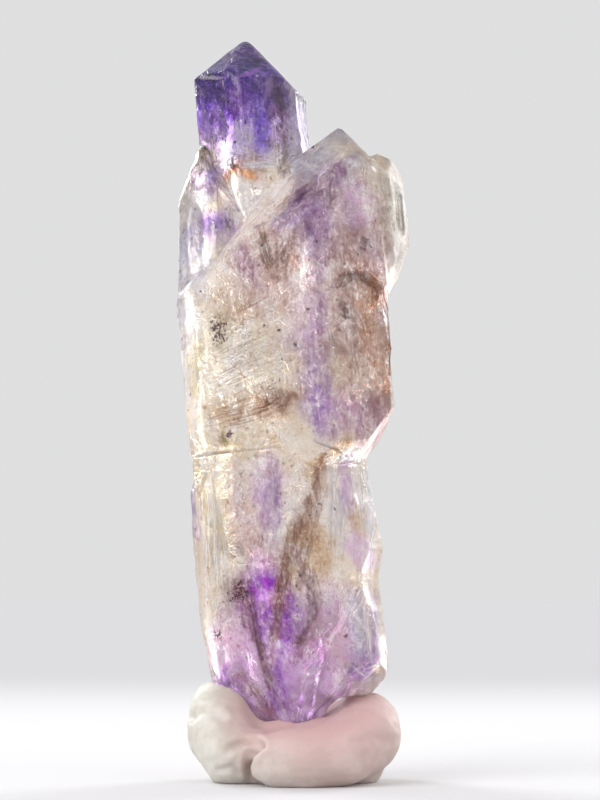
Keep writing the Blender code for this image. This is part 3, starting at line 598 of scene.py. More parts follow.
class QuartzPatterns:
    """The shader groups that the quartz and what lies in it share."""

    def __init__(self, growth: GrowthFrame) -> None:
        """Builds the groups for one growth frame."""
        self.growth = growth
        self.axes = self.growth_axes()
        self.clouds = self.warped_place()
        self.fibres = self.fibre_streaks()
        self.density = self.growth_density()
        self.hairs = self.hair_lines()
        self.specks = self.dark_specks()
        self.relief = self.growth_relief()

    def growth_axes(self) -> bpy.types.NodeTree:
        """Turns a place in the scene into growth millimetres.

        Returns:
            The group, from Object to Place.
        """
        group, bench, entry, leave = shader_group("growth_axes", [("Object", "Vector", None)], [("Place", "Vector")])
        back = self.growth.to_scene().inverted()
        turn = bench.add("ShaderNodeMapping", vector_type="POINT")
        bench.feed(turn.inputs["Vector"], entry["Object"])
        turn.inputs["Location"].default_value = back.translation
        turn.inputs["Rotation"].default_value = (0.0, math.radians(self.growth.lean), 0.0)
        turn.inputs["Scale"].default_value = (1 / MM, 1 / MM, 1 / MM)
        bench.feed(leave["Place"], turn.outputs[0])
        return group

    def warped_place(self) -> bpy.types.NodeTree:
        """Bends places so that clouds of colour get ragged, feathery edges.

        Returns:
            The group, from Place, Broad and Fine to Place.
        """
        inputs = [("Place", "Vector", None), ("Broad", "Float", 1.0), ("Fine", "Float", 0.3)]
        group, bench, entry, leave = shader_group("ragged_place", inputs, [("Place", "Vector")])
        result = entry["Place"]
        for scale, strength, factors in ((0.22, "Broad", (1.0, 0.6, 0.5)), (1.1, "Fine", (1.0, 0.5, 0.55))):
            where = bench.stretch(entry["Place"], factors)
            wander = bench.noise(where, scale, detail=3.0, rough=0.6).outputs["Color"]
            centred = bench.vector("SUBTRACT", wander, (0.5, 0.5, 0.5)).outputs[0]
            shift = bench.vector("SCALE", centred, scale=entry[strength]).outputs[0]
            result = bench.vector("ADD", result, shift).outputs[0]
        bench.feed(leave["Place"], result)
        return group

    def growth_density(self) -> bpy.types.NodeTree:
        """Deepens and thins a stain in cloudy mottles and fine grain, keeping its hue.

        Returns:
            The group, from Place, Colour and Depth to Colour.
        """
        inputs = [("Place", "Vector", None), ("Colour", "Color", Hue.WHITE.paint), ("Depth", "Float", 1.0)]
        group, bench, entry, leave = shader_group("growth_density", inputs, [("Colour", "Color")])
        broad = bench.noise(bench.stretch(entry["Place"], (1.0, 1.0, 0.6)), 0.5, detail=3.0, rough=0.6)
        mottle = bench.noise(bench.stretch(entry["Place"], (1.0, 1.0, 0.75)), 1.7, detail=6.0, rough=0.78, bend=0.7)
        grain = bench.noise(bench.stretch(entry["Place"], (3.0, 3.0, 0.7)), 1.6, detail=3.0, rough=0.7)
        layers = bench.sums("MULTIPLY", broad.outputs["Fac"], 0.6)
        layers = bench.sums("ADD", layers, bench.sums("MULTIPLY", mottle.outputs["Fac"], 1.0))
        layers = bench.sums("ADD", layers, bench.sums("MULTIPLY", grain.outputs["Fac"], 0.4))
        swing = bench.range(layers, 0.78, 1.24, -0.85, 1.2, smooth=False)
        deepen = bench.add("ShaderNodeGamma")
        bench.feed(deepen.inputs["Color"], entry["Colour"])
        bench.feed(deepen.inputs["Gamma"], bench.sums("ADD", 1.0, bench.sums("MULTIPLY", swing, entry["Depth"])))
        bench.feed(leave["Colour"], deepen.outputs[0])
        return group

    def fibre_streaks(self) -> bpy.types.NodeTree:
        """Darkens and lightens a colour in fine threads along the growth and in slanting streaks.

        Returns:
            The group, from Place, Colour and Strength to Colour.
        """
        inputs = [("Place", "Vector", None), ("Colour", "Color", Hue.WHITE.paint), ("Strength", "Float", 0.5)]
        group, bench, entry, leave = shader_group("fibre_streaks", inputs, [("Colour", "Color")])
        along = bench.noise(bench.stretch(entry["Place"], (3.4, 3.4, 0.26)), 1.0, detail=4.0, rough=0.65)
        turn = bench.add("ShaderNodeMapping", vector_type="POINT")
        bench.feed(turn.inputs["Vector"], entry["Place"])
        turn.inputs["Rotation"].default_value = (0.0, math.radians(-24), 0.0)
        slant = bench.noise(bench.stretch(turn.outputs[0], (0.4, 1.4, 3.4)), 1.0, detail=5.0, rough=0.7)
        both = bench.sums("ADD", along.outputs["Fac"], slant.outputs["Fac"])
        dark = bench.range(both, 0.93, 0.68, 0.0, 1.0)
        light = bench.range(both, 1.05, 1.28, 0.0, 1.0)
        shade = bench.mix(bench.sums("MULTIPLY", dark, entry["Strength"]), entry["Colour"], (0.58, 0.40, 0.30, 1.0),
                          "MULTIPLY")
        thinned = bench.add("ShaderNodeGamma")
        bench.feed(thinned.inputs["Color"], shade)
        bench.feed(thinned.inputs["Gamma"], 0.4)
        bench.feed(leave["Colour"], bench.mix(bench.sums("MULTIPLY", light, entry["Strength"]), shade,
                                              thinned.outputs[0]))
        return group

    def hair_lines(self) -> bpy.types.NodeTree:
        """Draws short dark hairs and long brown veins where a wandering noise crosses its middle.

        Returns:
            The group, from Place, Colour and Strength to Colour.
        """
        inputs = [("Place", "Vector", None), ("Colour", "Color", Hue.WHITE.paint), ("Strength", "Float", 0.8)]
        group, bench, entry, leave = shader_group("hair_lines", inputs, [("Colour", "Color")])
        colour = entry["Colour"]
        for factors, scale, bend, thin, patch, ink in (
                ((1.0, 1.0, 0.7), 0.9, 0.9, 0.014, 0.5, Hue.SIENNA.paint),
                ((1.0, 1.0, 1.0), 2.6, 0.6, 0.03, 1.5, Hue.DARK_BROWN.paint),
        ):
            where = bench.stretch(entry["Place"], factors)
            wave = bench.noise(where, scale, detail=1.5, rough=0.5, bend=bend).outputs["Fac"]
            off = bench.sums("ABSOLUTE", bench.sums("SUBTRACT", wave, 0.5))
            line = bench.range(off, thin, thin * 0.3)
            here = bench.range(bench.noise(entry["Place"], patch, detail=2.0).outputs["Fac"], 0.54, 0.64)
            cover = bench.sums("MULTIPLY", bench.sums("MULTIPLY", line, here), entry["Strength"])
            colour = bench.mix(cover, colour, ink, "MULTIPLY")
        bench.feed(leave["Colour"], colour)
        return group

    def dark_specks(self) -> bpy.types.NodeTree:
        """Puts small ragged specks on a colour, thick in some places and absent in others.

        Returns:
            The group, from Place, Colour, Speck, Size and Share to Colour and Mask.
        """
        inputs = [("Place", "Vector", None), ("Colour", "Color", Hue.WHITE.paint), ("Speck", "Color", Hue.SMOKE.paint),
                  ("Size", "Float", 0.5), ("Share", "Float", 0.5)]
        group, bench, entry, leave = shader_group("dark_specks", inputs, [("Colour", "Color"), ("Mask", "Float")])
        wander = bench.noise(entry["Place"], 3.4, detail=4.0, rough=0.7).outputs["Color"]
        ragged = bench.vector("ADD", entry["Place"], bench.vector("SCALE", wander, scale=0.9).outputs[0]).outputs[0]
        cells = bench.add("ShaderNodeTexVoronoi", feature="F1")
        bench.feed(cells.inputs["Vector"], ragged)
        bench.feed(cells.inputs["Scale"], bench.sums("DIVIDE", 1.0, entry["Size"]))
        pick = bench.add("ShaderNodeSeparateColor")
        bench.feed(pick.inputs[0], cells.outputs["Color"])
        spread = bench.sums("MULTIPLY", pick.outputs[1], pick.outputs[1])
        bound = bench.sums("ADD", 0.12, bench.sums("MULTIPLY", spread, 0.3))
        dot = bench.range(cells.outputs["Distance"], bound, bench.sums("MULTIPLY", bound, 0.5))
        cloud = bench.noise(entry["Place"], 0.35, detail=2.0).outputs["Fac"]
        thick = bench.sums("MULTIPLY", bench.range(cloud, 0.42, 0.62, 0.3, 1.0), entry["Share"])
        chosen = bench.sums("LESS_THAN", pick.outputs[0], thick)
        mask = bench.sums("MULTIPLY", dot, chosen)
        bench.feed(leave["Mask"], mask)
        bench.feed(leave["Colour"], bench.mix(mask, entry["Colour"], entry["Speck"]))
        return group

    def growth_relief(self) -> bpy.types.NodeTree:
        """The fine relief of the faces: cross striations, threads along the growth and an etched grain.

        Returns:
            The group, from Place, Striation, Thread and Etch to Height.
        """
        inputs = [("Place", "Vector", None), ("Striation", "Float", 0.5), ("Thread", "Float", 0.3),
                  ("Etch", "Float", 0.3), ("Crackle", "Float", 0.5)]
        group, bench, entry, leave = shader_group("growth_relief", inputs, [("Height", "Float")])
        across = bench.noise(bench.stretch(entry["Place"], (0.3, 0.3, 5.5)), 1.0, detail=3.0, rough=0.55)
        along = bench.noise(bench.stretch(entry["Place"], (3.6, 3.6, 0.35)), 1.0, detail=3.0, rough=0.6)
        grain = bench.noise(entry["Place"], 2.6, detail=4.0, rough=0.65)
        patches = bench.range(bench.noise(entry["Place"], 0.3, detail=2.0).outputs["Fac"], 0.38, 0.62)
        lined = bench.sums("MULTIPLY", bench.sums("MULTIPLY", across.outputs["Fac"], entry["Striation"]), patches)
        threaded = bench.sums("MULTIPLY", along.outputs["Fac"], entry["Thread"])
        etched = bench.sums("MULTIPLY", grain.outputs["Fac"], entry["Etch"])
        wander = bench.noise(entry["Place"], 1.1, detail=1.5).outputs["Color"]
        bent = bench.vector("ADD", entry["Place"], bench.vector("SCALE", wander, scale=1.6).outputs[0]).outputs[0]
        cells = bench.add("ShaderNodeTexVoronoi", feature="DISTANCE_TO_EDGE")
        bench.feed(cells.inputs["Vector"], bench.stretch(bent, (1.0, 1.0, 0.6)))
        bench.feed(cells.inputs["Scale"], 0.75)
        torn = bench.range(bench.noise(entry["Place"], 0.55, detail=2.0).outputs["Fac"], 0.46, 0.6)
        crack = bench.sums("MULTIPLY", bench.range(cells.outputs["Distance"], 0.0, 0.07), torn)
        crackled = bench.sums("MULTIPLY", crack, entry["Crackle"])
        grown = bench.sums("ADD", bench.sums("ADD", lined, threaded), etched)
        bench.feed(leave["Height"], bench.sums("ADD", grown, crackled))
        return group

    def tinted(self, name: str, tints: Sequence[Tint]) -> bpy.types.NodeTree:
        """Lays a list of colour clouds over a ground colour.

        Args:
            name: The group's name.
            tints: The clouds, the last on top.

        Returns:
            The group, from Place and Colour to Colour.
        """
        inputs = [("Place", "Vector", None), ("Colour", "Color", Hue.WHITE.paint)]
        group, bench, entry, leave = shader_group(name, inputs, [("Colour", "Color")])
        colour = entry["Colour"]
        for tint in tints:
            inside = bench.add("ShaderNodeMapping", vector_type="TEXTURE")
            bench.feed(inside.inputs["Vector"], entry["Place"])
            inside.inputs["Location"].default_value = tint.middle
            inside.inputs["Rotation"].default_value = (0.0, math.radians(-tint.lean), 0.0)
            inside.inputs["Scale"].default_value = tint.reach
            away = bench.vector("LENGTH", inside.outputs[0]).outputs["Value"]
            cover = bench.range(away, 1.0 + tint.soft / 2, 1.0 - tint.soft / 2, 0.0, tint.hold)
            colour = bench.mix(cover, colour, tint.hue.stain)
        bench.feed(leave["Colour"], colour)
        return group


@dataclass(frozen=True)
class QuartzFinish:
    """Clear to milky quartz with zones of colour."""

    patterns: QuartzPatterns
    clearness: float = 0.8
    bend_of_light: float = 1.544
    polish: float = 0.03
    frost: float = 0.13
    relief_depth: float = 0.05
    # How far the sharp edges are mixed towards white: frost-white wear and a painted highlight along them.
    edge_frost_and_highlight: float = 0.5
    milkiness: float = 0.42
    haze: float = 9.0

    def build(self) -> bpy.types.Material:
        """Makes the material.

        Returns:
            The material, with a faint absorption inside.
        """
        material = bpy.data.materials.new("zoned_quartz")
        material.use_nodes = True
        bench = NodeBench(material.node_tree)
        shader = material.node_tree.nodes["Principled BSDF"]
        end = material.node_tree.nodes["Material Output"]
        place = self.placed(bench)
        steady = self.group(bench, self.patterns.clouds, Place=place, Broad=0.3, Fine=0.2).outputs[0]
        colour = bench.add("ShaderNodeAttribute", attribute_name=TINT_LAYER).outputs["Color"]
        fine = [tint for tint in ALL_TINTS if tint.fine]
        colour = self.group(bench, self.patterns.tinted("fine_tints", fine), Place=steady, Colour=colour).outputs[0]
        colour = self.group(bench, self.patterns.density, Place=place, Colour=colour, Depth=1.2).outputs[0]
        colour = self.group(bench, self.patterns.fibres, Place=place, Colour=colour, Strength=0.7).outputs[0]
        colour = self.group(bench, self.patterns.hairs, Place=place, Colour=colour, Strength=0.75).outputs[0]
        lines = self.patterns.tinted("bright_lines", BRIGHT_LINES)
        colour = self.group(bench, lines, Place=steady, Colour=colour).outputs[0]
        height = bench.add("ShaderNodeSeparateXYZ")
        bench.feed(height.inputs[0], place)
        share = bench.range(height.outputs[2], 47.0, 50.0, 0.3, 1.0)
        spacing = bench.range(height.outputs[2], 47.0, 50.0, 0.42, 0.62)
        speck = bench.mix(bench.range(height.outputs[2], 47.0, 50.0), Hue.INK.paint, Hue.JET.paint)
        specked = self.group(bench, self.patterns.specks, Place=place, Colour=colour, Size=spacing, Share=share,
                             Speck=speck)
        # Sharp outer edges are mixed towards white, partly for their frost-white wear and partly as a painted highlight
        # along the edges; milky zones are left out.
        near_edge = bench.add("ShaderNodeAttribute", attribute_name=EDGE_LAYER).outputs["Fac"]
        edge_breakup = bench.noise(place, 1.6, detail=3.0, rough=0.6).outputs["Fac"]
        frost_and_highlight = bench.range(bench.sums("ADD", near_edge, bench.sums("MULTIPLY", edge_breakup, 0.5)), 0.72, 1.05)
        milky = bench.add("ShaderNodeAttribute", attribute_name=MILKY_LAYER).outputs["Fac"]
        bare = bench.sums("SUBTRACT", 1.0, milky, clamp=True)
        worn = bench.sums("MULTIPLY", bench.sums("MULTIPLY", frost_and_highlight, self.edge_frost_and_highlight), bare)
        bench.feed(shader.inputs["Base Color"], bench.mix(worn, specked.outputs["Colour"], Hue.WHITE.paint))
        wear = bench.noise(bench.stretch(place, (1.0, 1.0, 0.5)), 0.9, detail=4.0, rough=0.6).outputs["Fac"]
        haze = bench.range(wear, 0.4, 0.68, self.polish, self.frost)
        dull = bench.sums("ADD", bench.sums("MULTIPLY", worn, 0.3), bench.sums("MULTIPLY", milky, self.milkiness))
        bench.feed(shader.inputs["Roughness"], bench.sums("ADD", haze, dull, clamp=True))
        relief = self.group(bench, self.patterns.relief, Place=place, Striation=0.8, Thread=0.5, Etch=0.9,
                            Crackle=0.8)
        bump = bench.add("ShaderNodeBump")
        bump.inputs["Strength"].default_value = 1.0
        bump.inputs["Distance"].default_value = self.relief_depth * MM
        bench.feed(bump.inputs["Height"], relief.outputs[0])
        bench.feed(shader.inputs["Normal"], bump.outputs[0])
        shader.inputs["IOR"].default_value = self.bend_of_light
        shader.inputs["Transmission Weight"].default_value = self.clearness
        murk = bench.add("ShaderNodeVolumeAbsorption")
        murk.inputs["Color"].default_value = Hue.PALE_LILAC.paint
        murk.inputs["Density"].default_value = self.haze
        bench.feed(end.inputs["Volume"], murk.outputs[0])
        return material

    def placed(self, bench: NodeBench) -> bpy.types.NodeSocket:
        """Reads the growth place of the shaded point."""
        where = bench.add("ShaderNodeTexCoord")
        return self.group(bench, self.patterns.axes, Object=where.outputs["Object"]).outputs[0]

    @staticmethod
    def group(bench: NodeBench, tree: bpy.types.NodeTree, **values: Any) -> bpy.types.Node:
        """Places a node group with its own values.

        Args:
            bench: The bench of the tree that it goes in.
            tree: The group.
            values: Its inputs by name.

        Returns:
            The group's node.
        """
        node = bench.add("ShaderNodeGroup", node_tree=tree)
        for name, value in values.items():
            bench.feed(node.inputs[name], value)
        return node


@dataclass(frozen=True)
class InclusionFinish:
    """What lies inside the quartz: iron flecks, rust, milky bubbles or glinting flakes."""

    name: str
    patterns: QuartzPatterns
    dark: Hue
    light: Hue
    roughness: float = 0.5
    metal: float = 0.0

    def build(self) -> bpy.types.Material:
        """Makes the material, mottled between its two hues.

        Returns:
            The material.
        """
        material = bpy.data.materials.new(self.name)
        material.use_nodes = True
        bench = NodeBench(material.node_tree)
        shader = material.node_tree.nodes["Principled BSDF"]
        where = bench.add("ShaderNodeTexCoord")
        place = QuartzFinish.group(bench, self.patterns.axes, Object=where.outputs["Object"]).outputs[0]
        mottle = bench.noise(place, 1.7, detail=3.0).outputs["Fac"]
        share = bench.range(mottle, 0.38, 0.62)
        bench.feed(shader.inputs["Base Color"], bench.mix(share, self.dark.paint, self.light.paint))
        bench.feed(shader.inputs["Roughness"], bench.range(mottle, 0.3, 0.7, self.roughness, self.roughness * 0.6))
        shader.inputs["Metallic"].default_value = self.metal
        return material


@dataclass(frozen=True)
class PuttyFinish:
    """Matte off-white mineral putty, with painted pink light where light from the crystal falls on it."""

    growth: GrowthFrame
    chalk: tuple[int, int, int] = (216, 213, 204)
    shade: tuple[int, int, int] = (192, 186, 174)
    painted_crystal_light: tuple[int, int, int] = (202, 160, 160)
    painted_crystal_light_reach: float = 10.5
    softness: float = 0.25
    grain_depth: float = 0.04

    def build(self) -> bpy.types.Material:
        """Makes the material.

        Returns:
            The material, with painted pink light round the foot of the crystal.
        """
        material = bpy.data.materials.new("matte_putty")
        material.use_nodes = True
        bench = NodeBench(material.node_tree)
        shader = material.node_tree.nodes["Principled BSDF"]
        where = bench.add("ShaderNodeTexCoord").outputs["Object"]
        place = bench.vector("SCALE", where, scale=1 / MM).outputs[0]
        mottle = bench.noise(place, 0.35, detail=4.0, rough=0.6).outputs["Fac"]
        body = bench.mix(bench.range(mottle, 0.35, 0.65), linear(self.chalk), linear(self.shade))
        # Painted light: pink round the crystal's foot, standing in for light that comes through the crystal onto the
        # putty.
        heart = self.growth.place((2.8, -3.5, 2.6)) / MM
        away = bench.vector("DISTANCE", place, tuple(heart)).outputs["Value"]
        near = bench.range(away, self.painted_crystal_light_reach, self.painted_crystal_light_reach * 0.4, 0.0, 0.85)
        bench.feed(shader.inputs["Base Color"], bench.mix(near, body, linear(self.painted_crystal_light)))
        skin = bench.noise(place, 1.6, detail=6.0, rough=0.6).outputs["Fac"]
        bench.feed(shader.inputs["Roughness"], bench.range(skin, 0.3, 0.7, 0.5, 0.72))
        bump = bench.add("ShaderNodeBump")
        bump.inputs["Distance"].default_value = self.grain_depth * MM
        bench.feed(bump.inputs["Height"], skin)
        bench.feed(shader.inputs["Normal"], bump.outputs[0])
        shader.inputs["Subsurface Weight"].default_value = self.softness
        shader.inputs["Subsurface Radius"].default_value = (1.0, 0.8, 0.7)
        shader.inputs["Subsurface Scale"].default_value = 1.2 * MM
        return material


@dataclass(frozen=True)
class StageFinish:
    """Plain pale card for the floor."""

    tone: tuple[int, int, int] = (219, 218, 220)

    def build(self) -> bpy.types.Material:
        """Makes the material, with a barely visible paper grain."""
        material = bpy.data.materials.new("pale_card")
        material.use_nodes = True
        bench = NodeBench(material.node_tree)
        shader = material.node_tree.nodes["Principled BSDF"]
        where = bench.add("ShaderNodeTexCoord").outputs["Object"]
        grain = bench.noise(where, 900.0, detail=2.0).outputs["Fac"]
        tone = linear(self.tone)
        deeper = tuple(part * 0.97 for part in tone[:3]) + (1.0,)
        bench.feed(shader.inputs["Base Color"], bench.mix(grain, tone, deeper))
        shader.inputs["Roughness"].default_value = 0.9
        shader.inputs["Specular IOR Level"].default_value = 0.2
        return material


class GeometryTree:
    """One Geometry Nodes tree: named inputs, a body of nodes, and an end that realizes and dresses the result."""

    def __init__(self, name: str, inputs: Sequence[tuple[str, str, Any]]) -> None:
        """Starts a tree with a Geometry input and the named ones after it.

        Args:
            name: The tree's name.
            inputs: Each input's name, kind and plain value (None for a material).
        """
        self.tree = bpy.data.node_groups.new(name, "GeometryNodeTree")
        face = self.tree.interface
        face.new_socket("Geometry", in_out="INPUT", socket_type="NodeSocketGeometry")
        for label, kind, value in (*inputs, ("Finish", "Material", None)):
            socket = face.new_socket(label, in_out="INPUT", socket_type=f"NodeSocket{kind}")
            if value is not None:
                socket.default_value = value
        face.new_socket("Geometry", in_out="OUTPUT", socket_type="NodeSocketGeometry")
        self.bench = NodeBench(self.tree)
        self.entry = self.bench.add("NodeGroupInput").outputs

    def close(self, geometry: bpy.types.NodeSocket, smooth: bool) -> None:
        """Ends the tree: the shading, Realize Instances and Set Material.

        Args:
            geometry: What the tree has made.
            smooth: Whether its faces are shaded smooth.
        """
        shade = self.bench.add("GeometryNodeSetShadeSmooth")
        self.bench.feed(shade.inputs["Geometry"], geometry)
        shade.inputs["Shade Smooth"].default_value = smooth
        real = self.bench.add("GeometryNodeRealizeInstances")
        self.bench.feed(real.inputs[0], shade.outputs[0])
        dress = self.bench.add("GeometryNodeSetMaterial")
        self.bench.feed(dress.inputs["Geometry"], real.outputs[0])
        self.bench.feed(dress.inputs["Material"], self.entry["Finish"])
        leave = self.bench.add("NodeGroupOutput")
        self.bench.feed(leave.inputs[0], dress.outputs[0])

    def run(self, start: bpy.types.Mesh, finish: bpy.types.Material, **values: Any) -> bpy.types.Mesh:
        """Runs the tree on a mesh.

        Args:
            start: The mesh that goes in.
            finish: The material of the result.
            values: The tree's inputs, named with underscores for spaces.

        Returns:
            The plain mesh that comes out.
        """
        carrier = bpy.data.objects.new("carrier", start)
        bpy.context.scene.collection.objects.link(carrier)
        modifier = carrier.modifiers.new("growth", "NODES")
        modifier.node_group = self.tree
        sockets = {item.name: item.identifier for item in self.tree.interface.items_tree if item.in_out == "INPUT"}
        modifier[sockets["Finish"]] = finish
        for name, value in values.items():
            modifier[sockets[name.replace("_", " ")]] = value
        depsgraph = bpy.context.evaluated_depsgraph_get()
        mesh = bpy.data.meshes.new_from_object(carrier.evaluated_get(depsgraph), depsgraph=depsgraph)
        carrier.modifiers.remove(modifier)
        bpy.data.objects.remove(carrier)
        return mesh


def empty_mesh() -> bpy.types.Mesh:
    """A mesh with nothing in it, for trees that make everything themselves."""
    return bpy.data.meshes.new("seed")


def piece_of(name: str, mesh: bpy.types.Mesh) -> bpy.types.Object:
    """Makes an object at the origin from a mesh.

    Args:
        name: The piece's name.
        mesh: Its mesh, in scene metres.

    Returns:
        The object, linked to the scene.
    """
    piece = bpy.data.objects.new(name, mesh)
    mesh.name = name
    bpy.context.scene.collection.objects.link(piece)
    return piece


def joined(meshes: Sequence[bpy.types.Mesh], material: bpy.types.Material) -> bpy.types.Mesh:
    """Joins meshes into one with a single material.

    Args:
        meshes: The meshes.
        material: The material of them all.

    Returns:
        The joined mesh.
    """
    shell = bmesh.new()
    for mesh in meshes:
        shell.from_mesh(mesh)
    for face in shell.faces:
        face.material_index = 0
    result = bpy.data.meshes.new("joined")
    shell.to_mesh(result)
    shell.free()
    result.materials.clear()
    result.materials.append(material)
    return result


def merged_copy(node: str) -> bmesh.types.BMesh:
    """Copies a node's loose triangles into a closed, merged mesh.

    Args:
        node: The node, whose own mesh isn't changed.

    Returns:
        The copy, for further work.
    """
    copy = bmesh.new()
    copy.from_mesh(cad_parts[node].data)
    bmesh.ops.remove_doubles(copy, verts=copy.verts, dist=MERGE * MM)
    return copy


class FrontFaces:
    """The crystal's front faces, for what lies just beneath them."""

    def __init__(self, growth: GrowthFrame, node: str) -> None:
        """Reads the faces of a node."""
        self.growth = growth
        shell = merged_copy(node)
        self.tree = BVHTree.FromBMesh(shell)
        shell.free()

    def beneath(self, path: Sequence[tuple[float, float]], sink: float, step: float = 0.5) -> list[Vector]:
        """Lays a path beneath the front faces.

        Args:
            path: Its corners, as u and w.
            sink: How far beneath the faces it lies.
            step: How far apart its points are.

        Returns:
            The path's points, in growth millimetres.
        """
        points = []
        for start, end in zip(path, path[1:]):
            count = max(2, math.ceil(math.dist(start, end) / step))
            for number in range(count):
                u, w = (first + (last - first) * number / (count - 1) for first, last in zip(start, end))
                eye = self.growth.place((u, -30.0, w))
                hit = self.tree.ray_cast(eye, Vector((0.0, 1.0, 0.0)))[0]
                if hit is not None:
                    points.append(Vector((u, hit.y / MM - self.growth.foot[1] + sink, w)))
        return points


@dataclass
class QuartzCrystal:
    """The grown-together quartz: its worn, terraced and lumpy skin over the node's facets."""

    growth: GrowthFrame
    patterns: QuartzPatterns
    node: str = "quartz_crystal"
    grain: float = 0.45
    halvings: int = 6
    flat_within: float = 0.4
    sharp_over: float = 38.0
    wear: int = 2
    swell: float = 0.16
    terrace_rise: float = 0.05
    terrace_step: float = 1.7
    rim_lumps: float = 0.35
    flutes: float = 0.7
    flutes_top: float = 23.5
    fan: float = 0.35
    fan_blades: float = 6.0
    broad_wander: float = 1.3
    fine_wander: float = 0.5
    vein_wander: float = 0.55
    grit: float = 0.4
    patches: float = 0.5
    # Which sharp edges get the frost-white wear and painted highlight: their least angle, least chain length and least
    # height.
    worn_lit_over: float = 26.0
    worn_lit_chain: int = 60
    worn_lit_above: float = 13.0
    wander_seed: int = 3

    def build(self) -> bpy.types.Object:
        """Builds the crystal.

        Returns:
            The finished piece.
        """
        tree = self.skin_tree()
        mesh = tree.run(self.fine_mesh(), QuartzFinish(self.patterns).build(), Worn_Edges=self.wear,
                        Lean=math.radians(self.growth.lean), Swell=self.swell * MM,
                        Terrace_Rise=self.terrace_rise * MM, Terrace_Step=self.terrace_step,
                        Rim_Lumps=self.rim_lumps * MM, Flutes=self.flutes * MM, Flutes_Top=self.flutes_top,
                        Fan=self.fan * MM, Fan_Blades=self.fan_blades, Seed=3.0)
        mesh.set_sharp_from_angle(angle=math.radians(self.sharp_over))
        self.paint(mesh)
        self.mark_edges(mesh)
        piece = piece_of("zoned_quartz_crystal", mesh)
        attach(piece, BODY)
        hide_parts(self.node)
        return piece

    def paint(self, mesh: bpy.types.Mesh) -> None:
        """Lays the broad clouds of colour and the milky zones on the mesh's points, with ragged edges.

        Args:
            mesh: The finished mesh, which gains a colour layer and a milky one.
        """
        count = len(mesh.vertices)
        spots = numpy.empty(count * 3)
        mesh.vertices.foreach_get("co", spots)
        back = numpy.array(self.growth.to_scene().inverted())
        places = spots.reshape(count, 3) @ back[:3, :3].T + back[:3, 3]
        noise.seed_set(self.wander_seed)
        wander = numpy.array([
            noise.noise_vector(Vector((u * 0.22, v * 0.13, w * 0.11))) * self.broad_wander
            + noise.noise_vector(Vector((u * 1.1, v * 0.6, w * 0.6))) * self.fine_wander
            for u, v, w in places
        ])
        grit = self.grit * numpy.array([noise.noise_vector(Vector((u * 2.6, v * 1.6, w * 1.4))) for u, v, w in places])
        patchy = 0.9 + self.patches * numpy.array([
            noise.noise(Vector((u * 1.4, v * 1.0, w * 0.9))) for u, v, w in places
        ])
        patchy = numpy.clip(patchy, 0.2, 1.05)
        colour = numpy.tile(numpy.array(Hue.IVORY.stain), (count, 1))
        for tint in ALL_TINTS:
            if not tint.fine:
                share = (tint.cover(places + wander) * patchy)[:, None]
                colour = colour * (1.0 - share) + numpy.array(tint.hue.stain) * share
        for vein in FRONT_VEINS + STEM_VEINS:
            share = (vein.cover(places + wander * self.vein_wander + grit) * patchy)[:, None]
            colour = colour * (1.0 - share) + numpy.array(vein.hue.stain) * share
        layer = mesh.color_attributes.new(TINT_LAYER, "FLOAT_COLOR", "POINT")
        layer.data.foreach_set("color", colour.astype(numpy.float32).ravel())
        milky = numpy.max([zone.cover(places + wander) for zone in MILKY_ZONES], axis=0)
        skin = mesh.attributes.new(MILKY_LAYER, "FLOAT", "POINT")
        skin.data.foreach_set("value", milky.astype(numpy.float32))

    def mark_edges(self, mesh: bpy.types.Mesh) -> None:
        """Marks the points on the crystal's sharp outward edges, for their frost-white wear and the painted highlight
        along them.

        Args:
            mesh: The finished mesh, which gains a layer of ones and noughts.
        """
        shell = bmesh.new()
        shell.from_mesh(mesh)
        limit = math.radians(self.worn_lit_over)
        sharp = {edge for edge in shell.edges if edge.is_manifold and edge.is_convex and edge.calc_face_angle() > limit}
        marks = numpy.zeros(len(shell.verts), dtype=numpy.float32)
        while sharp:
            waiting = [sharp.pop()]
            chain = []
            while waiting:
                edge = waiting.pop()
                chain.append(edge)
                near = {other for vert in edge.verts for other in vert.link_edges if other in sharp}
                sharp -= near
                waiting.extend(near)
            if len(chain) > self.worn_lit_chain:
                marks[[vert.index for edge in chain for vert in edge.verts if vert.co.z > self.worn_lit_above * MM]] = 1.0
        shell.free()
        mesh.attributes.new(EDGE_LAYER, "FLOAT", "POINT").data.foreach_set("value", marks)

    def fine_mesh(self) -> bpy.types.Mesh:
        """Cuts the node's facets into small even triangles.

        Returns:
            The fine mesh, closed as the node is.
        """
        shell = merged_copy(self.node)
        flat = math.radians(self.flat_within)
        bmesh.ops.dissolve_limit(shell, angle_limit=flat, verts=shell.verts, edges=shell.edges)
        bmesh.ops.triangulate(shell, faces=shell.faces)
        longest = self.grain * MM * 1.0
        for halving in reversed(range(self.halvings)):
            reach = longest * 2 ** halving
            long_edges = [edge for edge in shell.edges if edge.calc_length() > reach]
            bmesh.ops.subdivide_edges(shell, edges=long_edges, cuts=1)
            bmesh.ops.triangulate(shell, faces=[face for face in shell.faces if len(face.verts) > 3])
            level = [edge for edge in shell.edges if edge.is_manifold and edge.calc_face_angle() < flat]
            bmesh.ops.beautify_fill(shell, faces=shell.faces, edges=level)
        mesh = bpy.data.meshes.new("fine_quartz")
        shell.to_mesh(mesh)
        shell.free()
        return mesh

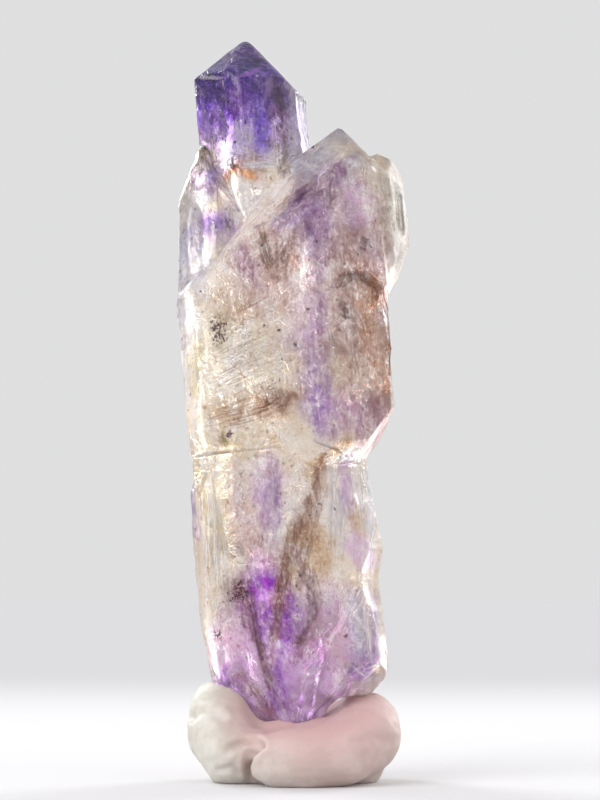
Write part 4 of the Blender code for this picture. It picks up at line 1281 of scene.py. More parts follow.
    def skin_tree(self) -> GeometryTree:
        """Makes the tree that wears the edges and grows low swells, terraces and rim lumps on the faces.

        Returns:
            The tree.
        """
        inputs = [("Worn Edges", "Int", 2), ("Lean", "Float", 0.0), ("Swell", "Float", 0.0),
                  ("Terrace Rise", "Float", 0.0), ("Terrace Step", "Float", 1.0), ("Rim Lumps", "Float", 0.0),
                  ("Flutes", "Float", 0.0), ("Flutes Top", "Float", 24.0), ("Fan", "Float", 0.0),
                  ("Fan Blades", "Float", 6.0),
                  ("Seed", "Float", 0.0)]
        made = GeometryTree("grown_skin", inputs)
        bench, entry = made.bench, made.entry
        worn = bench.add("GeometryNodeBlurAttribute", data_type="FLOAT_VECTOR")
        bench.feed(worn.inputs["Value"], bench.add("GeometryNodeInputPosition").outputs[0])
        bench.feed(worn.inputs["Iterations"], entry["Worn Edges"])
        soft = bench.add("GeometryNodeSetPosition")
        bench.feed(soft.inputs["Geometry"], entry["Geometry"])
        bench.feed(soft.inputs["Position"], worn.outputs[0])
        upright = bench.add("ShaderNodeVectorRotate", rotation_type="Y_AXIS")
        bench.feed(upright.inputs["Vector"], bench.add("GeometryNodeInputPosition").outputs[0])
        bench.feed(upright.inputs["Angle"], entry["Lean"])
        place = bench.vector("SCALE", upright.outputs[0], scale=1 / MM).outputs[0]
        axes = bench.add("ShaderNodeSeparateXYZ")
        bench.feed(axes.inputs[0], place)

        def centred(factors: Point, scale: float, detail: float) -> bpy.types.NodeSocket:
            """Noise about zero on stretched growth places."""
            wave = bench.noise(bench.stretch(place, factors), scale, detail=detail, seed=entry["Seed"])
            return bench.sums("SUBTRACT", wave.outputs[0], 0.5)

        swells = bench.sums("MULTIPLY", centred((1.0, 1.0, 0.45), 0.42, 2.0), entry["Swell"])
        steps = bench.sums("DIVIDE", axes.outputs[2], entry["Terrace Step"])
        bent = bench.sums("ADD", steps, bench.sums("MULTIPLY", centred((1.0, 1.0, 0.6), 0.28, 2.0), 7.0))
        tread = bench.range(bench.sums("FRACT", bent), 0.0, 0.85, 0.0, 1.0, smooth=False)
        ledge = bench.sums("MULTIPLY", tread, bench.range(centred((1.0, 1.0, 1.0), 0.22, 1.0), -0.1, 0.12))
        terraces = bench.sums("MULTIPLY", ledge, entry["Terrace Rise"])
        rim = bench.sums("MULTIPLY", bench.range(axes.outputs[0], 7.0, 10.0), entry["Rim Lumps"])
        lumps = bench.sums("MULTIPLY", centred((1.0, 1.0, 0.6), 0.55, 2.0), rim)
        top = entry["Flutes Top"]
        low = bench.range(axes.outputs[2], top, bench.sums("SUBTRACT", top, 2.0))
        furrows = bench.sums("MULTIPLY", centred((1.0, 1.0, 0.1), 0.8, 3.0), entry["Flutes"])
        flutes = bench.sums("MULTIPLY", furrows, low)
        tip = bench.sums("ADD", axes.outputs[2], 2.6)
        turn = bench.sums("ARCTAN2", bench.sums("ADD", axes.outputs[0], bench.sums("MULTIPLY", axes.outputs[1], 0.6)), tip)
        fold = bench.sums("PINGPONG", bench.sums("MULTIPLY", turn, entry["Fan Blades"]), 0.5)
        blade = bench.range(fold, 0.0, 0.5, 0.0, 0.5)
        fading = bench.range(axes.outputs[2], 13.0, 7.0)
        fan = bench.sums("MULTIPLY", bench.sums("MULTIPLY", blade, fading), entry["Fan"])
        rough = bench.sums("ADD", bench.sums("ADD", flutes, fan), lumps)
        rise = bench.sums("ADD", bench.sums("ADD", swells, terraces), rough)
        out = bench.vector("SCALE", bench.add("GeometryNodeInputNormal").outputs[0], scale=rise).outputs[0]
        grown = bench.add("GeometryNodeSetPosition")
        bench.feed(grown.inputs["Geometry"], soft.outputs[0])
        bench.feed(grown.inputs["Offset"], out)
        made.close(grown.outputs[0], smooth=True)
        return made


@dataclass(frozen=True)
class Cloud:
    """A cluster of small grains inside the quartz, in growth millimetres."""

    middle: Point
    reach: Point
    count: int
    smallest: float
    largest: float
    slender: float = 0.4


@dataclass(frozen=True)
class Wisp:
    """A brush of fine threads inside the quartz along a path, in growth millimetres."""

    path: Sequence[Point]
    stray: Point = (0.3, 0.3, 0.3)
    threads: int = 26
    thick: float = 0.035


@dataclass(frozen=True)
class Seam:
    """A bright healed crack just beneath the front faces: its corners as u and w, in growth millimetres."""

    path: tuple[tuple[float, float], ...]
    thick: float = 0.04
    threads: int = 3
    stray: float = 0.06
    sink: float = 0.3


@dataclass(frozen=True)
class Frames:
    """Nested skeletal growth frames, each smaller and deeper than the last, in growth millimetres."""

    middle: Point
    width: float
    height: float
    count: int = 5
    shrink: float = 0.17
    sink: float = 0.28
    turn: float = 0.0


BROWN_WISPS = (
    Wisp(((6.5, -5.0, 37.0), (8.0, -5.0, 38.1), (9.5, -5.0, 38.1), (10.6, -4.6, 37.0), (10.8, -4.2, 35.0)),
         (0.6, 0.5, 0.5), 44, 0.028),
    Wisp(((1.2, -5.0, 43.2), (1.6, -5.0, 40.9), (2.3, -5.0, 38.9)), (0.5, 0.4, 0.5), 34, 0.026),
    Wisp(((4.3, -5.0, 42.3), (3.3, -5.0, 40.5), (2.4, -5.0, 38.9)), (0.5, 0.4, 0.5), 30, 0.026),
    Wisp(((-4.5, -3.8, 31.0), (-0.9, -4.4, 32.6), (3.2, -4.8, 33.6)), (0.8, 0.6, 1.6), 14, 0.018),
    Wisp(((-4.8, -3.8, 28.4), (-1.6, -4.4, 29.4), (2.6, -4.8, 30.6)), (0.8, 0.6, 1.4), 18, 0.018),
    Wisp(((-4.7, -3.8, 26.6), (-0.9, -4.4, 27.3), (3.4, -4.8, 28.0)), (0.8, 0.6, 0.9), 22, 0.018),
    Wisp(((-3.4, -4.0, 33.6), (-0.2, -4.4, 35.1), (2.8, -4.8, 36.2)), (0.8, 0.6, 1.6), 14, 0.018),
    Wisp(((-0.2, -5.0, 27.4), (1.7, -5.0, 28.1), (3.3, -5.0, 28.9)), (0.7, 0.6, 0.7), 24, 0.02),
    Wisp(((8.3, -4.4, 47.9), (5.9, -4.4, 45.8), (3.8, -4.4, 44.7), (2.0, -4.0, 43.2)), (0.5, 0.4, 0.5), 30, 0.02),
    Wisp(((11.1, -3.6, 36.0), (11.1, -3.6, 32.6), (10.6, -3.6, 28.8)), (0.3, 0.6, 1.0), 30, 0.022),
    Wisp(((4.7, -3.2, 22.2), (3.6, -3.4, 19.8), (2.6, -3.4, 17.3), (1.7, -3.4, 14.9), (0.8, -3.4, 11.6),
          (0.4, -3.2, 9.4)), (0.8, 0.9, 1.2), 46, 0.02),
    Wisp(((2.6, -3.0, 14.2), (3.2, -3.0, 11.6), (2.4, -2.6, 9.0), (1.2, -2.0, 6.6)), (0.5, 0.6, 0.8), 26, 0.02),
    Wisp(((-2.4, -2.4, 13.2), (-1.8, -2.2, 10.9), (-1.5, -1.6, 7.6), (-1.1, -0.8, 4.6), (-0.5, -0.2, 2.2)),
         (0.35, 0.4, 0.8), 40, 0.022),
    Wisp(((-3.0, -0.9, 5.6), (-2.0, -0.6, 3.7), (-0.9, -0.2, 2.0)), (0.4, 0.3, 0.4), 24, 0.02),
)

BLACK_WISPS = (
    Wisp(((-2.1, -0.2, 42.2), (-2.5, -0.2, 41.2), (-2.3, -0.2, 40.6), (-3.0, -0.2, 40.1), (-4.0, -0.2, 39.4)),
         (0.14, 0.2, 0.14), 9, 0.05),
    Wisp(((-2.1, -0.2, 45.0), (-1.9, -0.2, 44.3), (-1.6, -0.2, 43.4)), (0.12, 0.2, 0.12), 7, 0.05),
    Wisp(((-0.1, -1.4, 50.0), (-0.5, -1.4, 49.5), (-0.3, -1.4, 49.1), (0.2, -1.4, 48.9)), (0.1, 0.1, 0.1), 8, 0.05),
    Wisp(((7.6, -5.0, 45.2), (7.0, -5.0, 44.7), (7.2, -5.0, 44.0)), (0.3, 0.2, 0.3), 9, 0.04),
    Wisp(((9.4, -4.8, 41.4), (9.9, -4.8, 41.0), (10.6, -4.8, 40.8)), (0.2, 0.2, 0.3), 8, 0.035),
    Wisp(((8.0, -5.0, 34.6), (8.4, -5.0, 33.8), (8.7, -5.0, 33.0)), (0.5, 0.2, 0.6), 9, 0.03),
)

WHITE_WISPS = (
    Wisp(((5.4, -2.4, 22.4), (5.4, -2.4, 18.8), (4.7, -2.4, 14.4)), (0.9, 0.6, 1.2), 44, 0.03),
    Wisp(((8.0, -1.4, 21.8), (8.3, -1.4, 17.7), (7.6, -1.4, 13.4)), (0.6, 0.8, 1.2), 40, 0.03),
    Wisp(((-4.6, -1.8, 22.4), (-4.8, -1.8, 18.0), (-5.0, -1.6, 12.0)), (0.9, 0.8, 1.2), 44, 0.03),
    Wisp(((0.8, -3.2, 23.0), (0.4, -3.2, 19.0), (0.0, -3.0, 14.6)), (0.8, 0.5, 1.0), 30, 0.025),
    Wisp(((-4.6, 0.8, 44.0), (-5.0, 0.8, 38.0), (-5.4, 0.8, 31.0)), (0.8, 1.2, 1.6), 44, 0.03),
    Wisp(((-2.4, -1.2, 9.0), (-0.9, -1.0, 5.0), (-0.4, -0.8, 1.8)), (0.8, 0.6, 0.8), 34, 0.025),
    Wisp(((3.6, -1.2, 9.0), (1.6, -1.0, 5.0), (0.2, -0.8, 1.8)), (0.8, 0.6, 0.8), 34, 0.025),
)

BRIGHT_SEAMS = (
    Seam(((0.3, 48.8), (3.4, 48.7)), 0.06, 5),
    Seam(((0.5, 48.2), (2.9, 48.1)), 0.03, 3),
    Seam(((-3.2, 56.6), (-0.9, 57.3)), 0.05, 3),
    Seam(((0.8, 57.4), (2.6, 56.5), (3.4, 54.2)), 0.04, 3),
    Seam(((0.5, 57.2), (0.4, 53.0)), 0.03, 2),
    Seam(((4.1, 47.4), (7.3, 49.2), (9.0, 49.4), (10.9, 46.8)), 0.035, 3),
    Seam(((-5.6, 38.5), (-0.2, 42.9)), 0.04, 4),
    Seam(((-0.2, 42.8), (3.6, 46.3), (6.8, 50.2)), 0.035, 3),
    Seam(((3.7, 24.8), (6.7, 23.2)), 0.05, 5, 0.12),
    Seam(((4.8, 8.2), (7.4, 12.5)), 0.035, 3),
    Seam(((7.4, 12.5), (7.1, 5.9)), 0.035, 3),
    Seam(((5.6, 4.3), (7.1, 5.9), (8.4, 5.4)), 0.035, 3),
    Seam(((0.9, 0.9), (5.2, 4.6)), 0.04, 3),
    Seam(((0.8, 1.0), (4.0, 7.0)), 0.03, 3),
    Seam(((0.7, 1.0), (1.4, 6.4)), 0.03, 2),
    Seam(((0.6, 1.0), (-0.5, 5.6)), 0.03, 2),
    Seam(((0.2, 1.0), (-5.2, 7.4)), 0.03, 2),
)

SKELETAL_FRAMES = (
    Frames((2.0, -1.2, 51.0), 2.4, 4.0),
    Frames((-1.6, -0.2, 53.0), 1.8, 3.2, turn=-30.0),
    Frames((-3.7, 1.6, 45.4), 1.6, 2.4, 4),
    Frames((9.4, -4.0, 42.0), 2.6, 3.4, 4),
)


@dataclass
class Inclusions:
    """What the quartz holds: iron flecks, milky bubble veils, glints and the head's nested skeletal frames."""

    growth: GrowthFrame
    patterns: QuartzPatterns
    iron: Sequence[Cloud] = (
        Cloud((0.4, -1.4, 52.4), (3.0, 0.8, 3.4), 150, 0.03, 0.13, 0.4),
        Cloud((0.8, 0.8, 54.5), (3.2, 2.2, 4.2), 130, 0.04, 0.14),
        Cloud((1.8, -0.6, 54.0), (1.2, 0.8, 1.4), 26, 0.06, 0.16),
        Cloud((-1.2, 0.0, 52.4), (1.4, 1.2, 1.6), 26, 0.05, 0.14),
        Cloud((4.0, 1.0, 49.6), (0.7, 0.9, 1.8), 26, 0.06, 0.14),
        Cloud((-0.3, -0.6, 49.0), (0.5, 0.4, 0.7), 16, 0.10, 0.24, 0.3),
        Cloud((-2.0, 0.2, 44.0), (0.5, 0.6, 0.9), 20, 0.08, 0.22, 0.25),
        Cloud((-2.6, 0.2, 40.6), (0.8, 0.5, 1.3), 26, 0.08, 0.24, 0.2),
        Cloud((6.9, -4.6, 44.6), (0.9, 0.7, 1.1), 34, 0.06, 0.18, 0.3),
        Cloud((9.9, -4.4, 41.0), (0.9, 0.7, 0.8), 26, 0.06, 0.2, 0.25),
        Cloud((7.4, -4.8, 35.0), (0.5, 0.5, 0.5), 26, 0.08, 0.2, 0.35),
        Cloud((8.6, -4.4, 33.0), (1.6, 0.9, 3.0), 60, 0.04, 0.12, 0.3),
        Cloud((-3.0, -4.2, 34.6), (0.9, 0.6, 1.4), 60, 0.07, 0.2, 0.4),
        Cloud((0.6, -4.4, 29.4), (1.6, 0.7, 0.8), 22, 0.05, 0.18, 0.2),
        Cloud((-2.8, -4.2, 25.8), (0.4, 0.4, 0.4), 12, 0.08, 0.2, 0.4),
        Cloud((-3.2, -3.0, 12.8), (1.0, 0.6, 1.2), 60, 0.06, 0.18, 0.4),
        Cloud((-5.2, -2.0, 9.2), (0.4, 0.4, 0.5), 14, 0.08, 0.16, 0.4),
        Cloud((2.0, -4.0, 34.0), (6.0, 1.6, 8.0), 110, 0.03, 0.09, 0.35),
        Cloud((1.0, -1.0, 14.0), (5.0, 2.4, 8.0), 90, 0.03, 0.1, 0.3),
    )
    milk: Sequence[Cloud] = (
        Cloud((0.4, 0.6, 51.0), (2.6, 1.6, 2.6), 220, 0.03, 0.07, 1.0),
        Cloud((-3.6, 1.4, 45.0), (1.6, 1.6, 2.6), 200, 0.03, 0.08, 1.0),
        Cloud((12.0, -0.6, 42.0), (0.8, 2.0, 4.0), 160, 0.04, 0.09, 1.0),
        Cloud((0.0, -3.6, 33.0), (4.2, 1.6, 5.4), 420, 0.03, 0.08, 1.0),
        Cloud((1.0, -0.6, 18.0), (5.6, 2.2, 4.6), 320, 0.03, 0.08, 1.0),
        Cloud((0.5, -0.5, 8.0), (3.4, 2.0, 4.4), 260, 0.03, 0.07, 1.0),
    )
    glint: Sequence[Cloud] = (
        Cloud((0.8, 0.4, 51.4), (2.8, 1.4, 3.4), 60, 0.08, 0.26, 0.08),
        Cloud((-3.8, 0.8, 45.6), (1.4, 1.2, 2.2), 60, 0.08, 0.26, 0.08),
        Cloud((12.2, -0.8, 43.0), (0.6, 1.6, 3.6), 40, 0.08, 0.22, 0.08),
        Cloud((0.4, -3.6, 31.0), (4.4, 1.4, 6.6), 110, 0.08, 0.26, 0.08),
        Cloud((0.6, -1.4, 15.0), (5.0, 2.0, 8.4), 150, 0.08, 0.3, 0.08),
    )

    def build(self) -> list[bpy.types.Object]:
        """Builds every inclusion.

        Returns:
            The pieces.
        """
        iron = InclusionFinish("iron_flecks", self.patterns, Hue.DARK_BROWN, Hue.SMOKE, 0.45)
        milk = InclusionFinish("milky_bubbles", self.patterns, Hue.FROST, Hue.WHITE, 0.5)
        glint = InclusionFinish("inner_glints", self.patterns, Hue.FROST, Hue.WHITE, 0.25, 0.5)
        smoke = InclusionFinish("smoky_threads", self.patterns, Hue.BROWN, Hue.SIENNA, 0.6)
        ink = InclusionFinish("iron_threads", self.patterns, Hue.INK, Hue.DARK_BROWN, 0.45)
        tree = self.cloud_tree()
        brush = self.brush_tree()
        return [
            self.clouds("iron_flecks", tree, self.iron, iron, seed=11),
            self.clouds("milky_veils", tree, self.milk, milk, seed=41),
            self.clouds("inner_glints", tree, self.glint, glint, seed=71),
            self.wisps("smoky_threads", brush, BROWN_WISPS, smoke, seed=101),
            self.wisps("iron_threads", brush, BLACK_WISPS, ink, seed=131),
            self.wisps("white_fibres", brush, WHITE_WISPS, milk, seed=161),
            self.wisps("bright_seams", brush, self.sunk_seams(), milk, seed=191),
            self.nests("skeletal_frames", SKELETAL_FRAMES, glint),
        ]

    def wisps(self, name: str, tree: GeometryTree, wisps: Sequence[Wisp], finish: InclusionFinish,
              seed: int) -> bpy.types.Object:
        """Builds brushes of threads as one piece.

        Args:
            name: The piece's name.
            tree: The tree that multiplies threads along a path.
            wisps: The brushes.
            finish: The threads' finish.
            seed: The seed of the first brush.

        Returns:
            The piece.
        """
        material = finish.build()
        meshes = []
        for number, wisp in enumerate(wisps):
            path = bpy.data.meshes.new("path")
            links = [(spot, spot + 1) for spot in range(len(wisp.path) - 1)]
            path.from_pydata([Vector(spot) for spot in wisp.path], links, [])
            meshes.append(tree.run(path, material, Threads=wisp.threads, Stray=wisp.stray, Thick=wisp.thick,
                                   Seed=seed + number))
        return self.set_in(name, joined(meshes, material))

    def sunk_seams(self) -> list[Wisp]:
        """Lays the bright seams just beneath the front faces.

        Returns:
            Each seam as a wisp.
        """
        faces = FrontFaces(self.growth, "quartz_crystal")
        return [
            Wisp(faces.beneath(seam.path, seam.sink), (seam.stray,) * 3, seam.threads, seam.thick)
            for seam in BRIGHT_SEAMS
        ]

    def nests(self, name: str, nests: Sequence[Frames], finish: InclusionFinish) -> bpy.types.Object:
        """Builds nested skeletal frames as one piece.

        Args:
            name: The piece's name.
            nests: The nests of frames.
            finish: Their finish.

        Returns:
            The piece.
        """
        material = finish.build()
        tree = self.nest_tree()
        meshes = []
        for nest in nests:
            mesh = tree.run(empty_mesh(), material, Width=nest.width, Height=nest.height, Count=nest.count,
                            Shrink=nest.shrink, Sink=nest.sink)
            upright = Matrix.Rotation(math.radians(90), 4, "X")
            turned = Matrix.Rotation(math.radians(nest.turn), 4, "Z")
            mesh.transform(Matrix.Translation(Vector(nest.middle)) @ turned @ upright)
            meshes.append(mesh)
        return self.set_in(name, joined(meshes, material))

    def set_in(self, name: str, mesh: bpy.types.Mesh) -> bpy.types.Object:
        """Moves a mesh from growth millimetres into the scene and makes it a piece of the quartz.

        Args:
            name: The piece's name.
            mesh: Its mesh in growth millimetres.

        Returns:
            The piece.
        """
        mesh.transform(self.growth.to_scene())
        piece = piece_of(name, mesh)
        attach(piece, BODY)
        return piece

    @staticmethod
    def brush_tree() -> GeometryTree:
        """Makes the tree that turns a path into a brush of stray threads.

        Returns:
            The tree.
        """
        inputs = [("Threads", "Int", 10), ("Stray", "Vector", None), ("Thick", "Float", 0.03), ("Seed", "Int", 0)]
        made = GeometryTree("thread_brush", inputs)
        bench, entry = made.bench, made.entry
        path = bench.add("GeometryNodeMeshToCurve")
        bench.feed(path.inputs[0], entry["Geometry"])
        even = bench.add("GeometryNodeResampleCurve")
        bench.feed(even.inputs["Curve"], path.outputs[0])
        even.inputs["Count"].default_value = 14
        side = bench.add("FunctionNodeRandomValue", data_type="FLOAT_VECTOR")
        side.inputs[0].default_value = (-1.0, -1.0, -1.0)
        side.inputs[1].default_value = (1.0, 1.0, 1.0)
        bench.feed(side.inputs["Seed"], entry["Seed"])
        points = bench.add("GeometryNodePoints")
        bench.feed(points.inputs["Count"], entry["Threads"])
        bench.feed(points.inputs["Position"], bench.vector("MULTIPLY", side.outputs[0], entry["Stray"]).outputs[0])
        copies = bench.add("GeometryNodeInstanceOnPoints")
        bench.feed(copies.inputs["Points"], points.outputs[0])
        bench.feed(copies.inputs["Instance"], even.outputs[0])
        real = bench.add("GeometryNodeRealizeInstances")
        bench.feed(real.inputs[0], copies.outputs[0])
        cut = bench.add("GeometryNodeTrimCurve", mode="FACTOR")
        bench.feed(cut.inputs["Curve"], real.outputs[0])
        for name, low, high, offset in (("Start", 0.0, 0.5, 7), ("End", 0.5, 1.0, 13)):
            share = bench.add("FunctionNodeRandomValue", data_type="FLOAT")
            share.inputs[2].default_value = low
            share.inputs[3].default_value = high
            bench.feed(share.inputs["Seed"], bench.sums("ADD", entry["Seed"], offset))
            bench.feed(cut.inputs[name], share.outputs[1])
        spot = bench.add("GeometryNodeInputPosition").outputs[0]
        wander = bench.noise(spot, 0.9, detail=3.0, seed=entry["Seed"]).outputs["Color"]
        shift = bench.vector("SUBTRACT", wander, (0.5, 0.5, 0.5)).outputs[0]
        bent = bench.add("GeometryNodeSetPosition")
        bench.feed(bent.inputs["Geometry"], cut.outputs[0])
        bench.feed(bent.inputs["Offset"], bench.vector("SCALE", shift, scale=0.7).outputs[0])
        ring = bench.add("GeometryNodeCurvePrimitiveCircle", mode="RADIUS")
        ring.inputs["Resolution"].default_value = 3
        bench.feed(ring.inputs["Radius"], entry["Thick"])
        threads = bench.add("GeometryNodeCurveToMesh")
        bench.feed(threads.inputs["Curve"], bent.outputs[0])
        bench.feed(threads.inputs["Profile Curve"], ring.outputs[0])
        threads.inputs["Fill Caps"].default_value = True
        made.close(threads.outputs[0], smooth=False)
        return made

    @staticmethod
    def nest_tree() -> GeometryTree:
        """Makes the tree that nests rectangular frames, each smaller and deeper.

        Returns:
            The tree.
        """
        inputs = [("Width", "Float", 2.0), ("Height", "Float", 3.0), ("Count", "Int", 4), ("Shrink", "Float", 0.2),
                  ("Sink", "Float", 0.3)]
        made = GeometryTree("nested_frames", inputs)
        bench, entry = made.bench, made.entry
        order = bench.add("GeometryNodeInputIndex").outputs[0]
        depth = bench.add("ShaderNodeCombineXYZ")
        bench.feed(depth.inputs[2], bench.sums("MULTIPLY", bench.sums("MULTIPLY", order, entry["Sink"]), -1.0))
        points = bench.add("GeometryNodePoints")
        bench.feed(points.inputs["Count"], entry["Count"])
        bench.feed(points.inputs["Position"], depth.outputs[0])
        outline = bench.add("GeometryNodeCurvePrimitiveQuadrilateral", mode="RECTANGLE")
        bench.feed(outline.inputs["Width"], entry["Width"])
        bench.feed(outline.inputs["Height"], entry["Height"])
        ring = bench.add("GeometryNodeCurvePrimitiveCircle", mode="RADIUS")
        ring.inputs["Resolution"].default_value = 4
        ring.inputs["Radius"].default_value = 0.05
        bars = bench.add("GeometryNodeCurveToMesh")
        bench.feed(bars.inputs["Curve"], outline.outputs[0])
        bench.feed(bars.inputs["Profile Curve"], ring.outputs[0])
        size = bench.sums("SUBTRACT", 1.0, bench.sums("MULTIPLY", order, entry["Shrink"]))
        nested = bench.add("GeometryNodeInstanceOnPoints")
        bench.feed(nested.inputs["Points"], points.outputs[0])
        bench.feed(nested.inputs["Instance"], bars.outputs[0])
        bench.feed(nested.inputs["Scale"], size)
        made.close(nested.outputs[0], smooth=False)
        return made

    def clouds(self, name: str, tree: GeometryTree, clouds: Sequence[Cloud], finish: InclusionFinish,
               seed: int) -> bpy.types.Object:
        """Builds the clusters of one kind of inclusion as one piece.

        Args:
            name: The piece's name.
            tree: The tree that scatters grains.
            clouds: The clusters.
            finish: The grains' finish.
            seed: The seed of the first cluster.

        Returns:
            The piece.
        """
        material = finish.build()
        meshes = [
            tree.run(empty_mesh(), material, Middle=cloud.middle, Reach=cloud.reach, Count=cloud.count,
                     Smallest=cloud.smallest, Largest=cloud.largest, Slender=cloud.slender, Seed=seed + number)
            for number, cloud in enumerate(clouds)
        ]
        return self.set_in(name, joined(meshes, material))

    @staticmethod
    def cloud_tree() -> GeometryTree:
        """Makes the tree that scatters slender grains in an ellipsoid.

        Returns:
            The tree.
        """
        inputs = [("Middle", "Vector", None), ("Reach", "Vector", None), ("Count", "Int", 10),
                  ("Smallest", "Float", 0.05), ("Largest", "Float", 0.1), ("Slender", "Float", 0.4), ("Seed", "Int", 0)]
        made = GeometryTree("grain_cloud", inputs)
        bench, entry = made.bench, made.entry

        def chance(kind: str, low: Any, high: Any, offset: int) -> bpy.types.NodeSocket:
            """A random value for each grain, of its own stream."""
            node = bench.add("FunctionNodeRandomValue", data_type=kind)
            numbers = {"FLOAT_VECTOR": (0, 1, 0), "FLOAT": (2, 3, 1)}[kind]
            bench.feed(node.inputs[numbers[0]], low)
            bench.feed(node.inputs[numbers[1]], high)
            bench.feed(node.inputs["Seed"], bench.sums("ADD", entry["Seed"], offset))
            return node.outputs[numbers[2]]

        heading = bench.vector("NORMALIZE", chance("FLOAT_VECTOR", (-1.0,) * 3, (1.0,) * 3, 100)).outputs[0]
        out = bench.sums("POWER", chance("FLOAT", 0.0, 1.0, 200), 0.6)
        inside = bench.vector("MULTIPLY", bench.vector("SCALE", heading, scale=out).outputs[0], entry["Reach"])
        spot = bench.vector("ADD", inside.outputs[0], entry["Middle"]).outputs[0]
        points = bench.add("GeometryNodePoints")
        bench.feed(points.inputs["Count"], entry["Count"])
        bench.feed(points.inputs["Position"], spot)
        grain = bench.add("GeometryNodeMeshIcoSphere")
        grain.inputs["Radius"].default_value = 1.0
        grain.inputs["Subdivisions"].default_value = 1
        size = chance("FLOAT", entry["Smallest"], entry["Largest"], 300)
        flat = bench.add("ShaderNodeCombineXYZ")
        bench.feed(flat.inputs[0], size)
        bench.feed(flat.inputs[1], bench.sums("MULTIPLY", size, bench.range(entry["Slender"], 0.0, 1.0, 0.5, 1.0,
                                                                          smooth=False)))
        bench.feed(flat.inputs[2], bench.sums("MULTIPLY", size, entry["Slender"]))
        strewn = bench.add("GeometryNodeInstanceOnPoints")
        bench.feed(strewn.inputs["Points"], points.outputs[0])
        bench.feed(strewn.inputs["Instance"], grain.outputs["Mesh"])
        bench.feed(strewn.inputs["Rotation"], chance("FLOAT_VECTOR", (0.0,) * 3, (math.tau,) * 3, 400))
        bench.feed(strewn.inputs["Scale"], flat.outputs[0])
        made.close(strewn.outputs[0], smooth=False)
        return made


@dataclass(frozen=True)
class Crease:
    """A line pressed into the putty, as places across and up, in scene millimetres; back is which side it is on."""

    line: Sequence[tuple[float, float]]
    width: float
    depth: float
    back: bool = False

    def distance(self, x: float, z: float) -> float:
        """The distance from a place to the line."""
        here = Vector((x, z))
        nearest = math.inf
        for start, end in zip(self.line, self.line[1:]):
            first = Vector(start)
            run = Vector(end) - first
            share = max(0.0, min(1.0, (here - first).dot(run) / run.length_squared))
            nearest = min(nearest, (here - first - run * share).length)
        return nearest


@dataclass
class DisplayPutty:
    """The lump of putty: a hand-rolled sausage wrapped round the crystal's foot, pressed, creased and fingered."""

    growth: GrowthFrame
    node: str = "display_putty"
    voxel: float = 0.2
    rounding: int = 3
    dents: float = 0.22
    wrinkles: float = 0.04
    table: float = 0.25
    creases: Sequence[Crease] = (
        Crease(((-8.6, 5.4), (-7.8, 5.9), (-6.9, 5.9), (-6.0, 5.5)), 0.35, 0.3),
        Crease(((-2.6, 3.4), (-3.5, 2.7), (-3.8, 1.7), (-3.6, 0.4)), 0.3, 0.7),
        Crease(((-5.4, 2.9), (-4.3, 3.5), (-3.0, 3.6)), 0.3, 0.28),
        Crease(((5.0, 3.7), (6.6, 4.1), (8.0, 3.6)), 0.4, 0.14),
        Crease(((-6.2, 1.2), (-5.2, 1.5), (-4.5, 1.0)), 0.3, 0.16),
        Crease(((-2.0, 5.0), (1.0, 4.2), (3.6, 4.8)), 0.5, 0.3, back=True),
        Crease(((5.4, 1.4), (5.9, 3.0), (5.2, 4.6)), 0.4, 0.35, back=True),
        Crease(((-6.4, 2.0), (-5.6, 3.4), (-5.9, 5.0)), 0.4, 0.35, back=True),
    )

    def build(self) -> bpy.types.Object:
        """Builds the putty.

        Returns:
            The finished piece.
        """
        mesh = self.fine_mesh()
        self.press(mesh)
        mesh.shade_smooth()
        mesh.materials.clear()
        mesh.materials.append(PuttyFinish(self.growth).build())
        piece = piece_of("pressed_putty", mesh)
        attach(piece, BODY)
        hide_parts(self.node)
        return piece

    def fine_mesh(self) -> bpy.types.Mesh:
        """Remeshes a merged copy of the node finely and rounds it.

        Returns:
            The fine mesh.
        """
        shell = merged_copy(self.node)
        mesh = bpy.data.meshes.new("putty_start")
        shell.to_mesh(mesh)
        shell.free()
        carrier = bpy.data.objects.new("putty_carrier", mesh)
        bpy.context.scene.collection.objects.link(carrier)
        remesh = carrier.modifiers.new("fine", "REMESH")
        remesh.mode = "VOXEL"
        remesh.voxel_size = self.voxel * MM
        rounded = carrier.modifiers.new("rounded", "SMOOTH")
        rounded.factor = 0.5
        rounded.iterations = self.rounding
        depsgraph = bpy.context.evaluated_depsgraph_get()
        fine = bpy.data.meshes.new_from_object(carrier.evaluated_get(depsgraph), depsgraph=depsgraph)
        bpy.data.objects.remove(carrier)
        return fine

    def press(self, mesh: bpy.types.Mesh) -> None:
        """Presses dents, wrinkles and creases into the mesh, and keeps its base flat on the table.

        Args:
            mesh: The fine mesh, which is changed.
        """
        normals = [vertex.normal.copy() for vertex in mesh.vertices]
        for vertex, normal in zip(mesh.vertices, normals):
            place = vertex.co / MM
            if place.z < self.table:
                continue
            lift = min(1.0, (place.z - self.table) / 0.8)
            broad = noise.noise(place * 0.32) * self.dents
            fine = noise.noise(Vector((place.x * 0.8, place.y * 0.8, place.z * 1.6)) + Vector((9, 3, 1)))
            rise = broad + fine * self.wrinkles
            for crease in self.creases:
                if crease.back == (place.y > 0.0):
                    away = crease.distance(place.x, place.z) / crease.width
                    if away < 4.0:
                        rise -= crease.depth * (math.exp(-away * away) - 0.35 * math.exp(-(away - 1.8) ** 2))
            vertex.co += normal * (rise * lift * MM)


class LampKind(Enum):
    """The kinds of soft lamp."""

    WIDE = "SUN"
    PANEL = "AREA"


@dataclass(frozen=True)
class SoftLamp:
    """A soft lamp: where it stands and how strong it is.

    width is a panel's side in metres or the angle of a wide lamp in degrees; a panel's strength is in watts, and
    reach is the angle in degrees that a panel's light stays within.
    """

    name: str
    kind: LampKind
    place: Point
    width: float
    strength: float
    tone: tuple[float, float, float] = (1.0, 1.0, 1.0)
    reach: float = 180.0


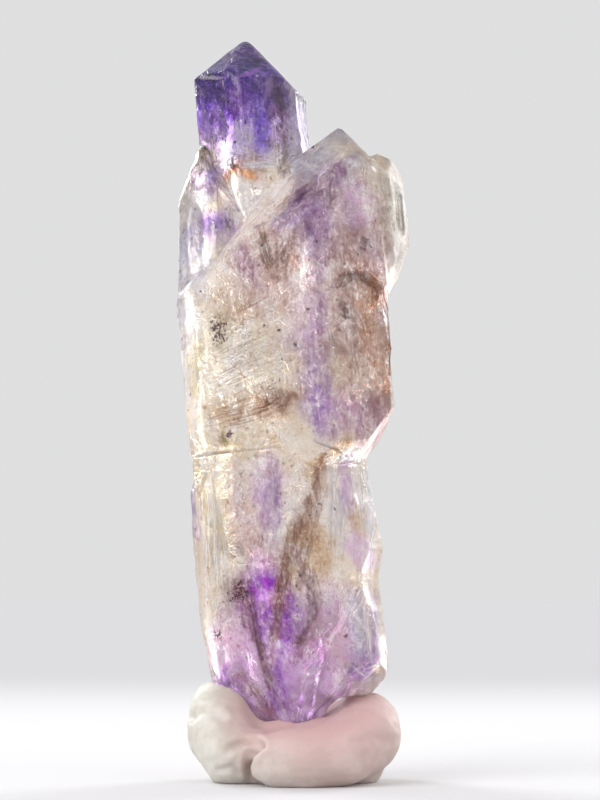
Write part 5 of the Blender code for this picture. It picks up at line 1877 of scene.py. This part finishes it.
@dataclass
class Studio:
    """A pale floor, soft lamps and the camera."""

    floor_reach: float = 12.0
    world_tone: float = 0.74
    world_strength: float = 1.0
    lens: float = 105.3
    frame_height: float = 36.0
    camera_place: Point = (0.00052, -0.20002, 0.0152)
    camera_tilt: float = 4.9
    lamps: Sequence[SoftLamp] = (
        SoftLamp("key", LampKind.WIDE, (-0.42, -0.36, 0.40), 50.0, 1.5),
        SoftLamp("fill", LampKind.WIDE, (0.46, -0.30, 0.22), 50.0, 0.45),
        SoftLamp("back_left", LampKind.PANEL, (-0.24, 0.30, 0.22), 0.16, 0.1, (0.96, 0.98, 1.0), 60.0),
        SoftLamp("back_right", LampKind.PANEL, (0.26, 0.28, 0.18), 0.16, 0.09, (1.0, 0.99, 0.96), 60.0),
    )
    aim: Point = (0.0, 0.0, 0.03)

    def build(self) -> bpy.types.Object:
        """Sets the stage.

        Returns:
            The floor.
        """
        self.camera()
        for lamp in self.lamps:
            self.lamp(lamp)
        world = bpy.data.worlds.new("pale_room")
        bpy.context.scene.world = world
        world.use_nodes = True
        tone = self.world_tone
        world.node_tree.nodes["Background"].inputs["Color"].default_value = (tone, tone, tone * 1.01, 1.0)
        world.node_tree.nodes["Background"].inputs["Strength"].default_value = self.world_strength
        bpy.context.scene.view_settings.view_transform = "Standard"
        return self.floor()

    def camera(self) -> None:
        """Puts the camera at the photograph's viewing angle."""
        eye = bpy.data.cameras.new("photo_eye")
        eye.sensor_fit = "VERTICAL"
        eye.sensor_height = self.frame_height
        eye.lens = self.lens
        eye.clip_start = 0.01
        holder = bpy.data.objects.new("photo_eye", eye)
        holder.location = self.camera_place
        holder.rotation_euler = (math.radians(90 + self.camera_tilt), 0.0, 0.0)
        bpy.context.scene.collection.objects.link(holder)
        bpy.context.scene.camera = holder

    def lamp(self, soft: SoftLamp) -> None:
        """Hangs one soft lamp, turned to the specimen."""
        light = bpy.data.lights.new(soft.name, soft.kind.value)
        light.energy = soft.strength
        light.color = soft.tone
        if soft.kind is LampKind.WIDE:
            light.angle = math.radians(soft.width)
        else:
            light.size = soft.width
            light.spread = math.radians(soft.reach)
        holder = bpy.data.objects.new(soft.name, light)
        holder.location = soft.place
        holder.rotation_euler = (Vector(self.aim) - Vector(soft.place)).to_track_quat("-Z", "Y").to_euler()
        bpy.context.scene.collection.objects.link(holder)

    def floor(self) -> bpy.types.Object:
        """Lays the floor.

        Returns:
            The floor.
        """
        sheet = bmesh.new()
        bmesh.ops.create_grid(sheet, x_segments=8, y_segments=8, size=self.floor_reach)
        mesh = bpy.data.meshes.new("pale_floor")
        sheet.to_mesh(mesh)
        sheet.free()
        mesh.materials.append(StageFinish().build())
        floor = piece_of("pale_floor", mesh)
        return floor


def highest_point(node: str) -> Vector:
    """The highest vertex of a node, in metres."""
    return max((vertex.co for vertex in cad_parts[node].data.vertices), key=lambda place: place.z).copy()


def report(piece: bpy.types.Object) -> None:
    """Logs a piece's name and how many faces it has."""
    LOG.info("%s: %d faces", piece.name, len(piece.data.polygons))


def main() -> None:
    """Builds the specimen piece by piece and reports each one."""
    logging.basicConfig(level=logging.INFO, format="%(name)s %(message)s")
    growth = GrowthFrame.under(highest_point("quartz_crystal"))
    patterns = QuartzPatterns(growth)
    report(Studio().build())
    report(QuartzCrystal(growth, patterns).build())
    for piece in Inclusions(growth, patterns).build():
        report(piece)
    report(DisplayPutty(growth).build())


if __name__ == "__main__":
    main()
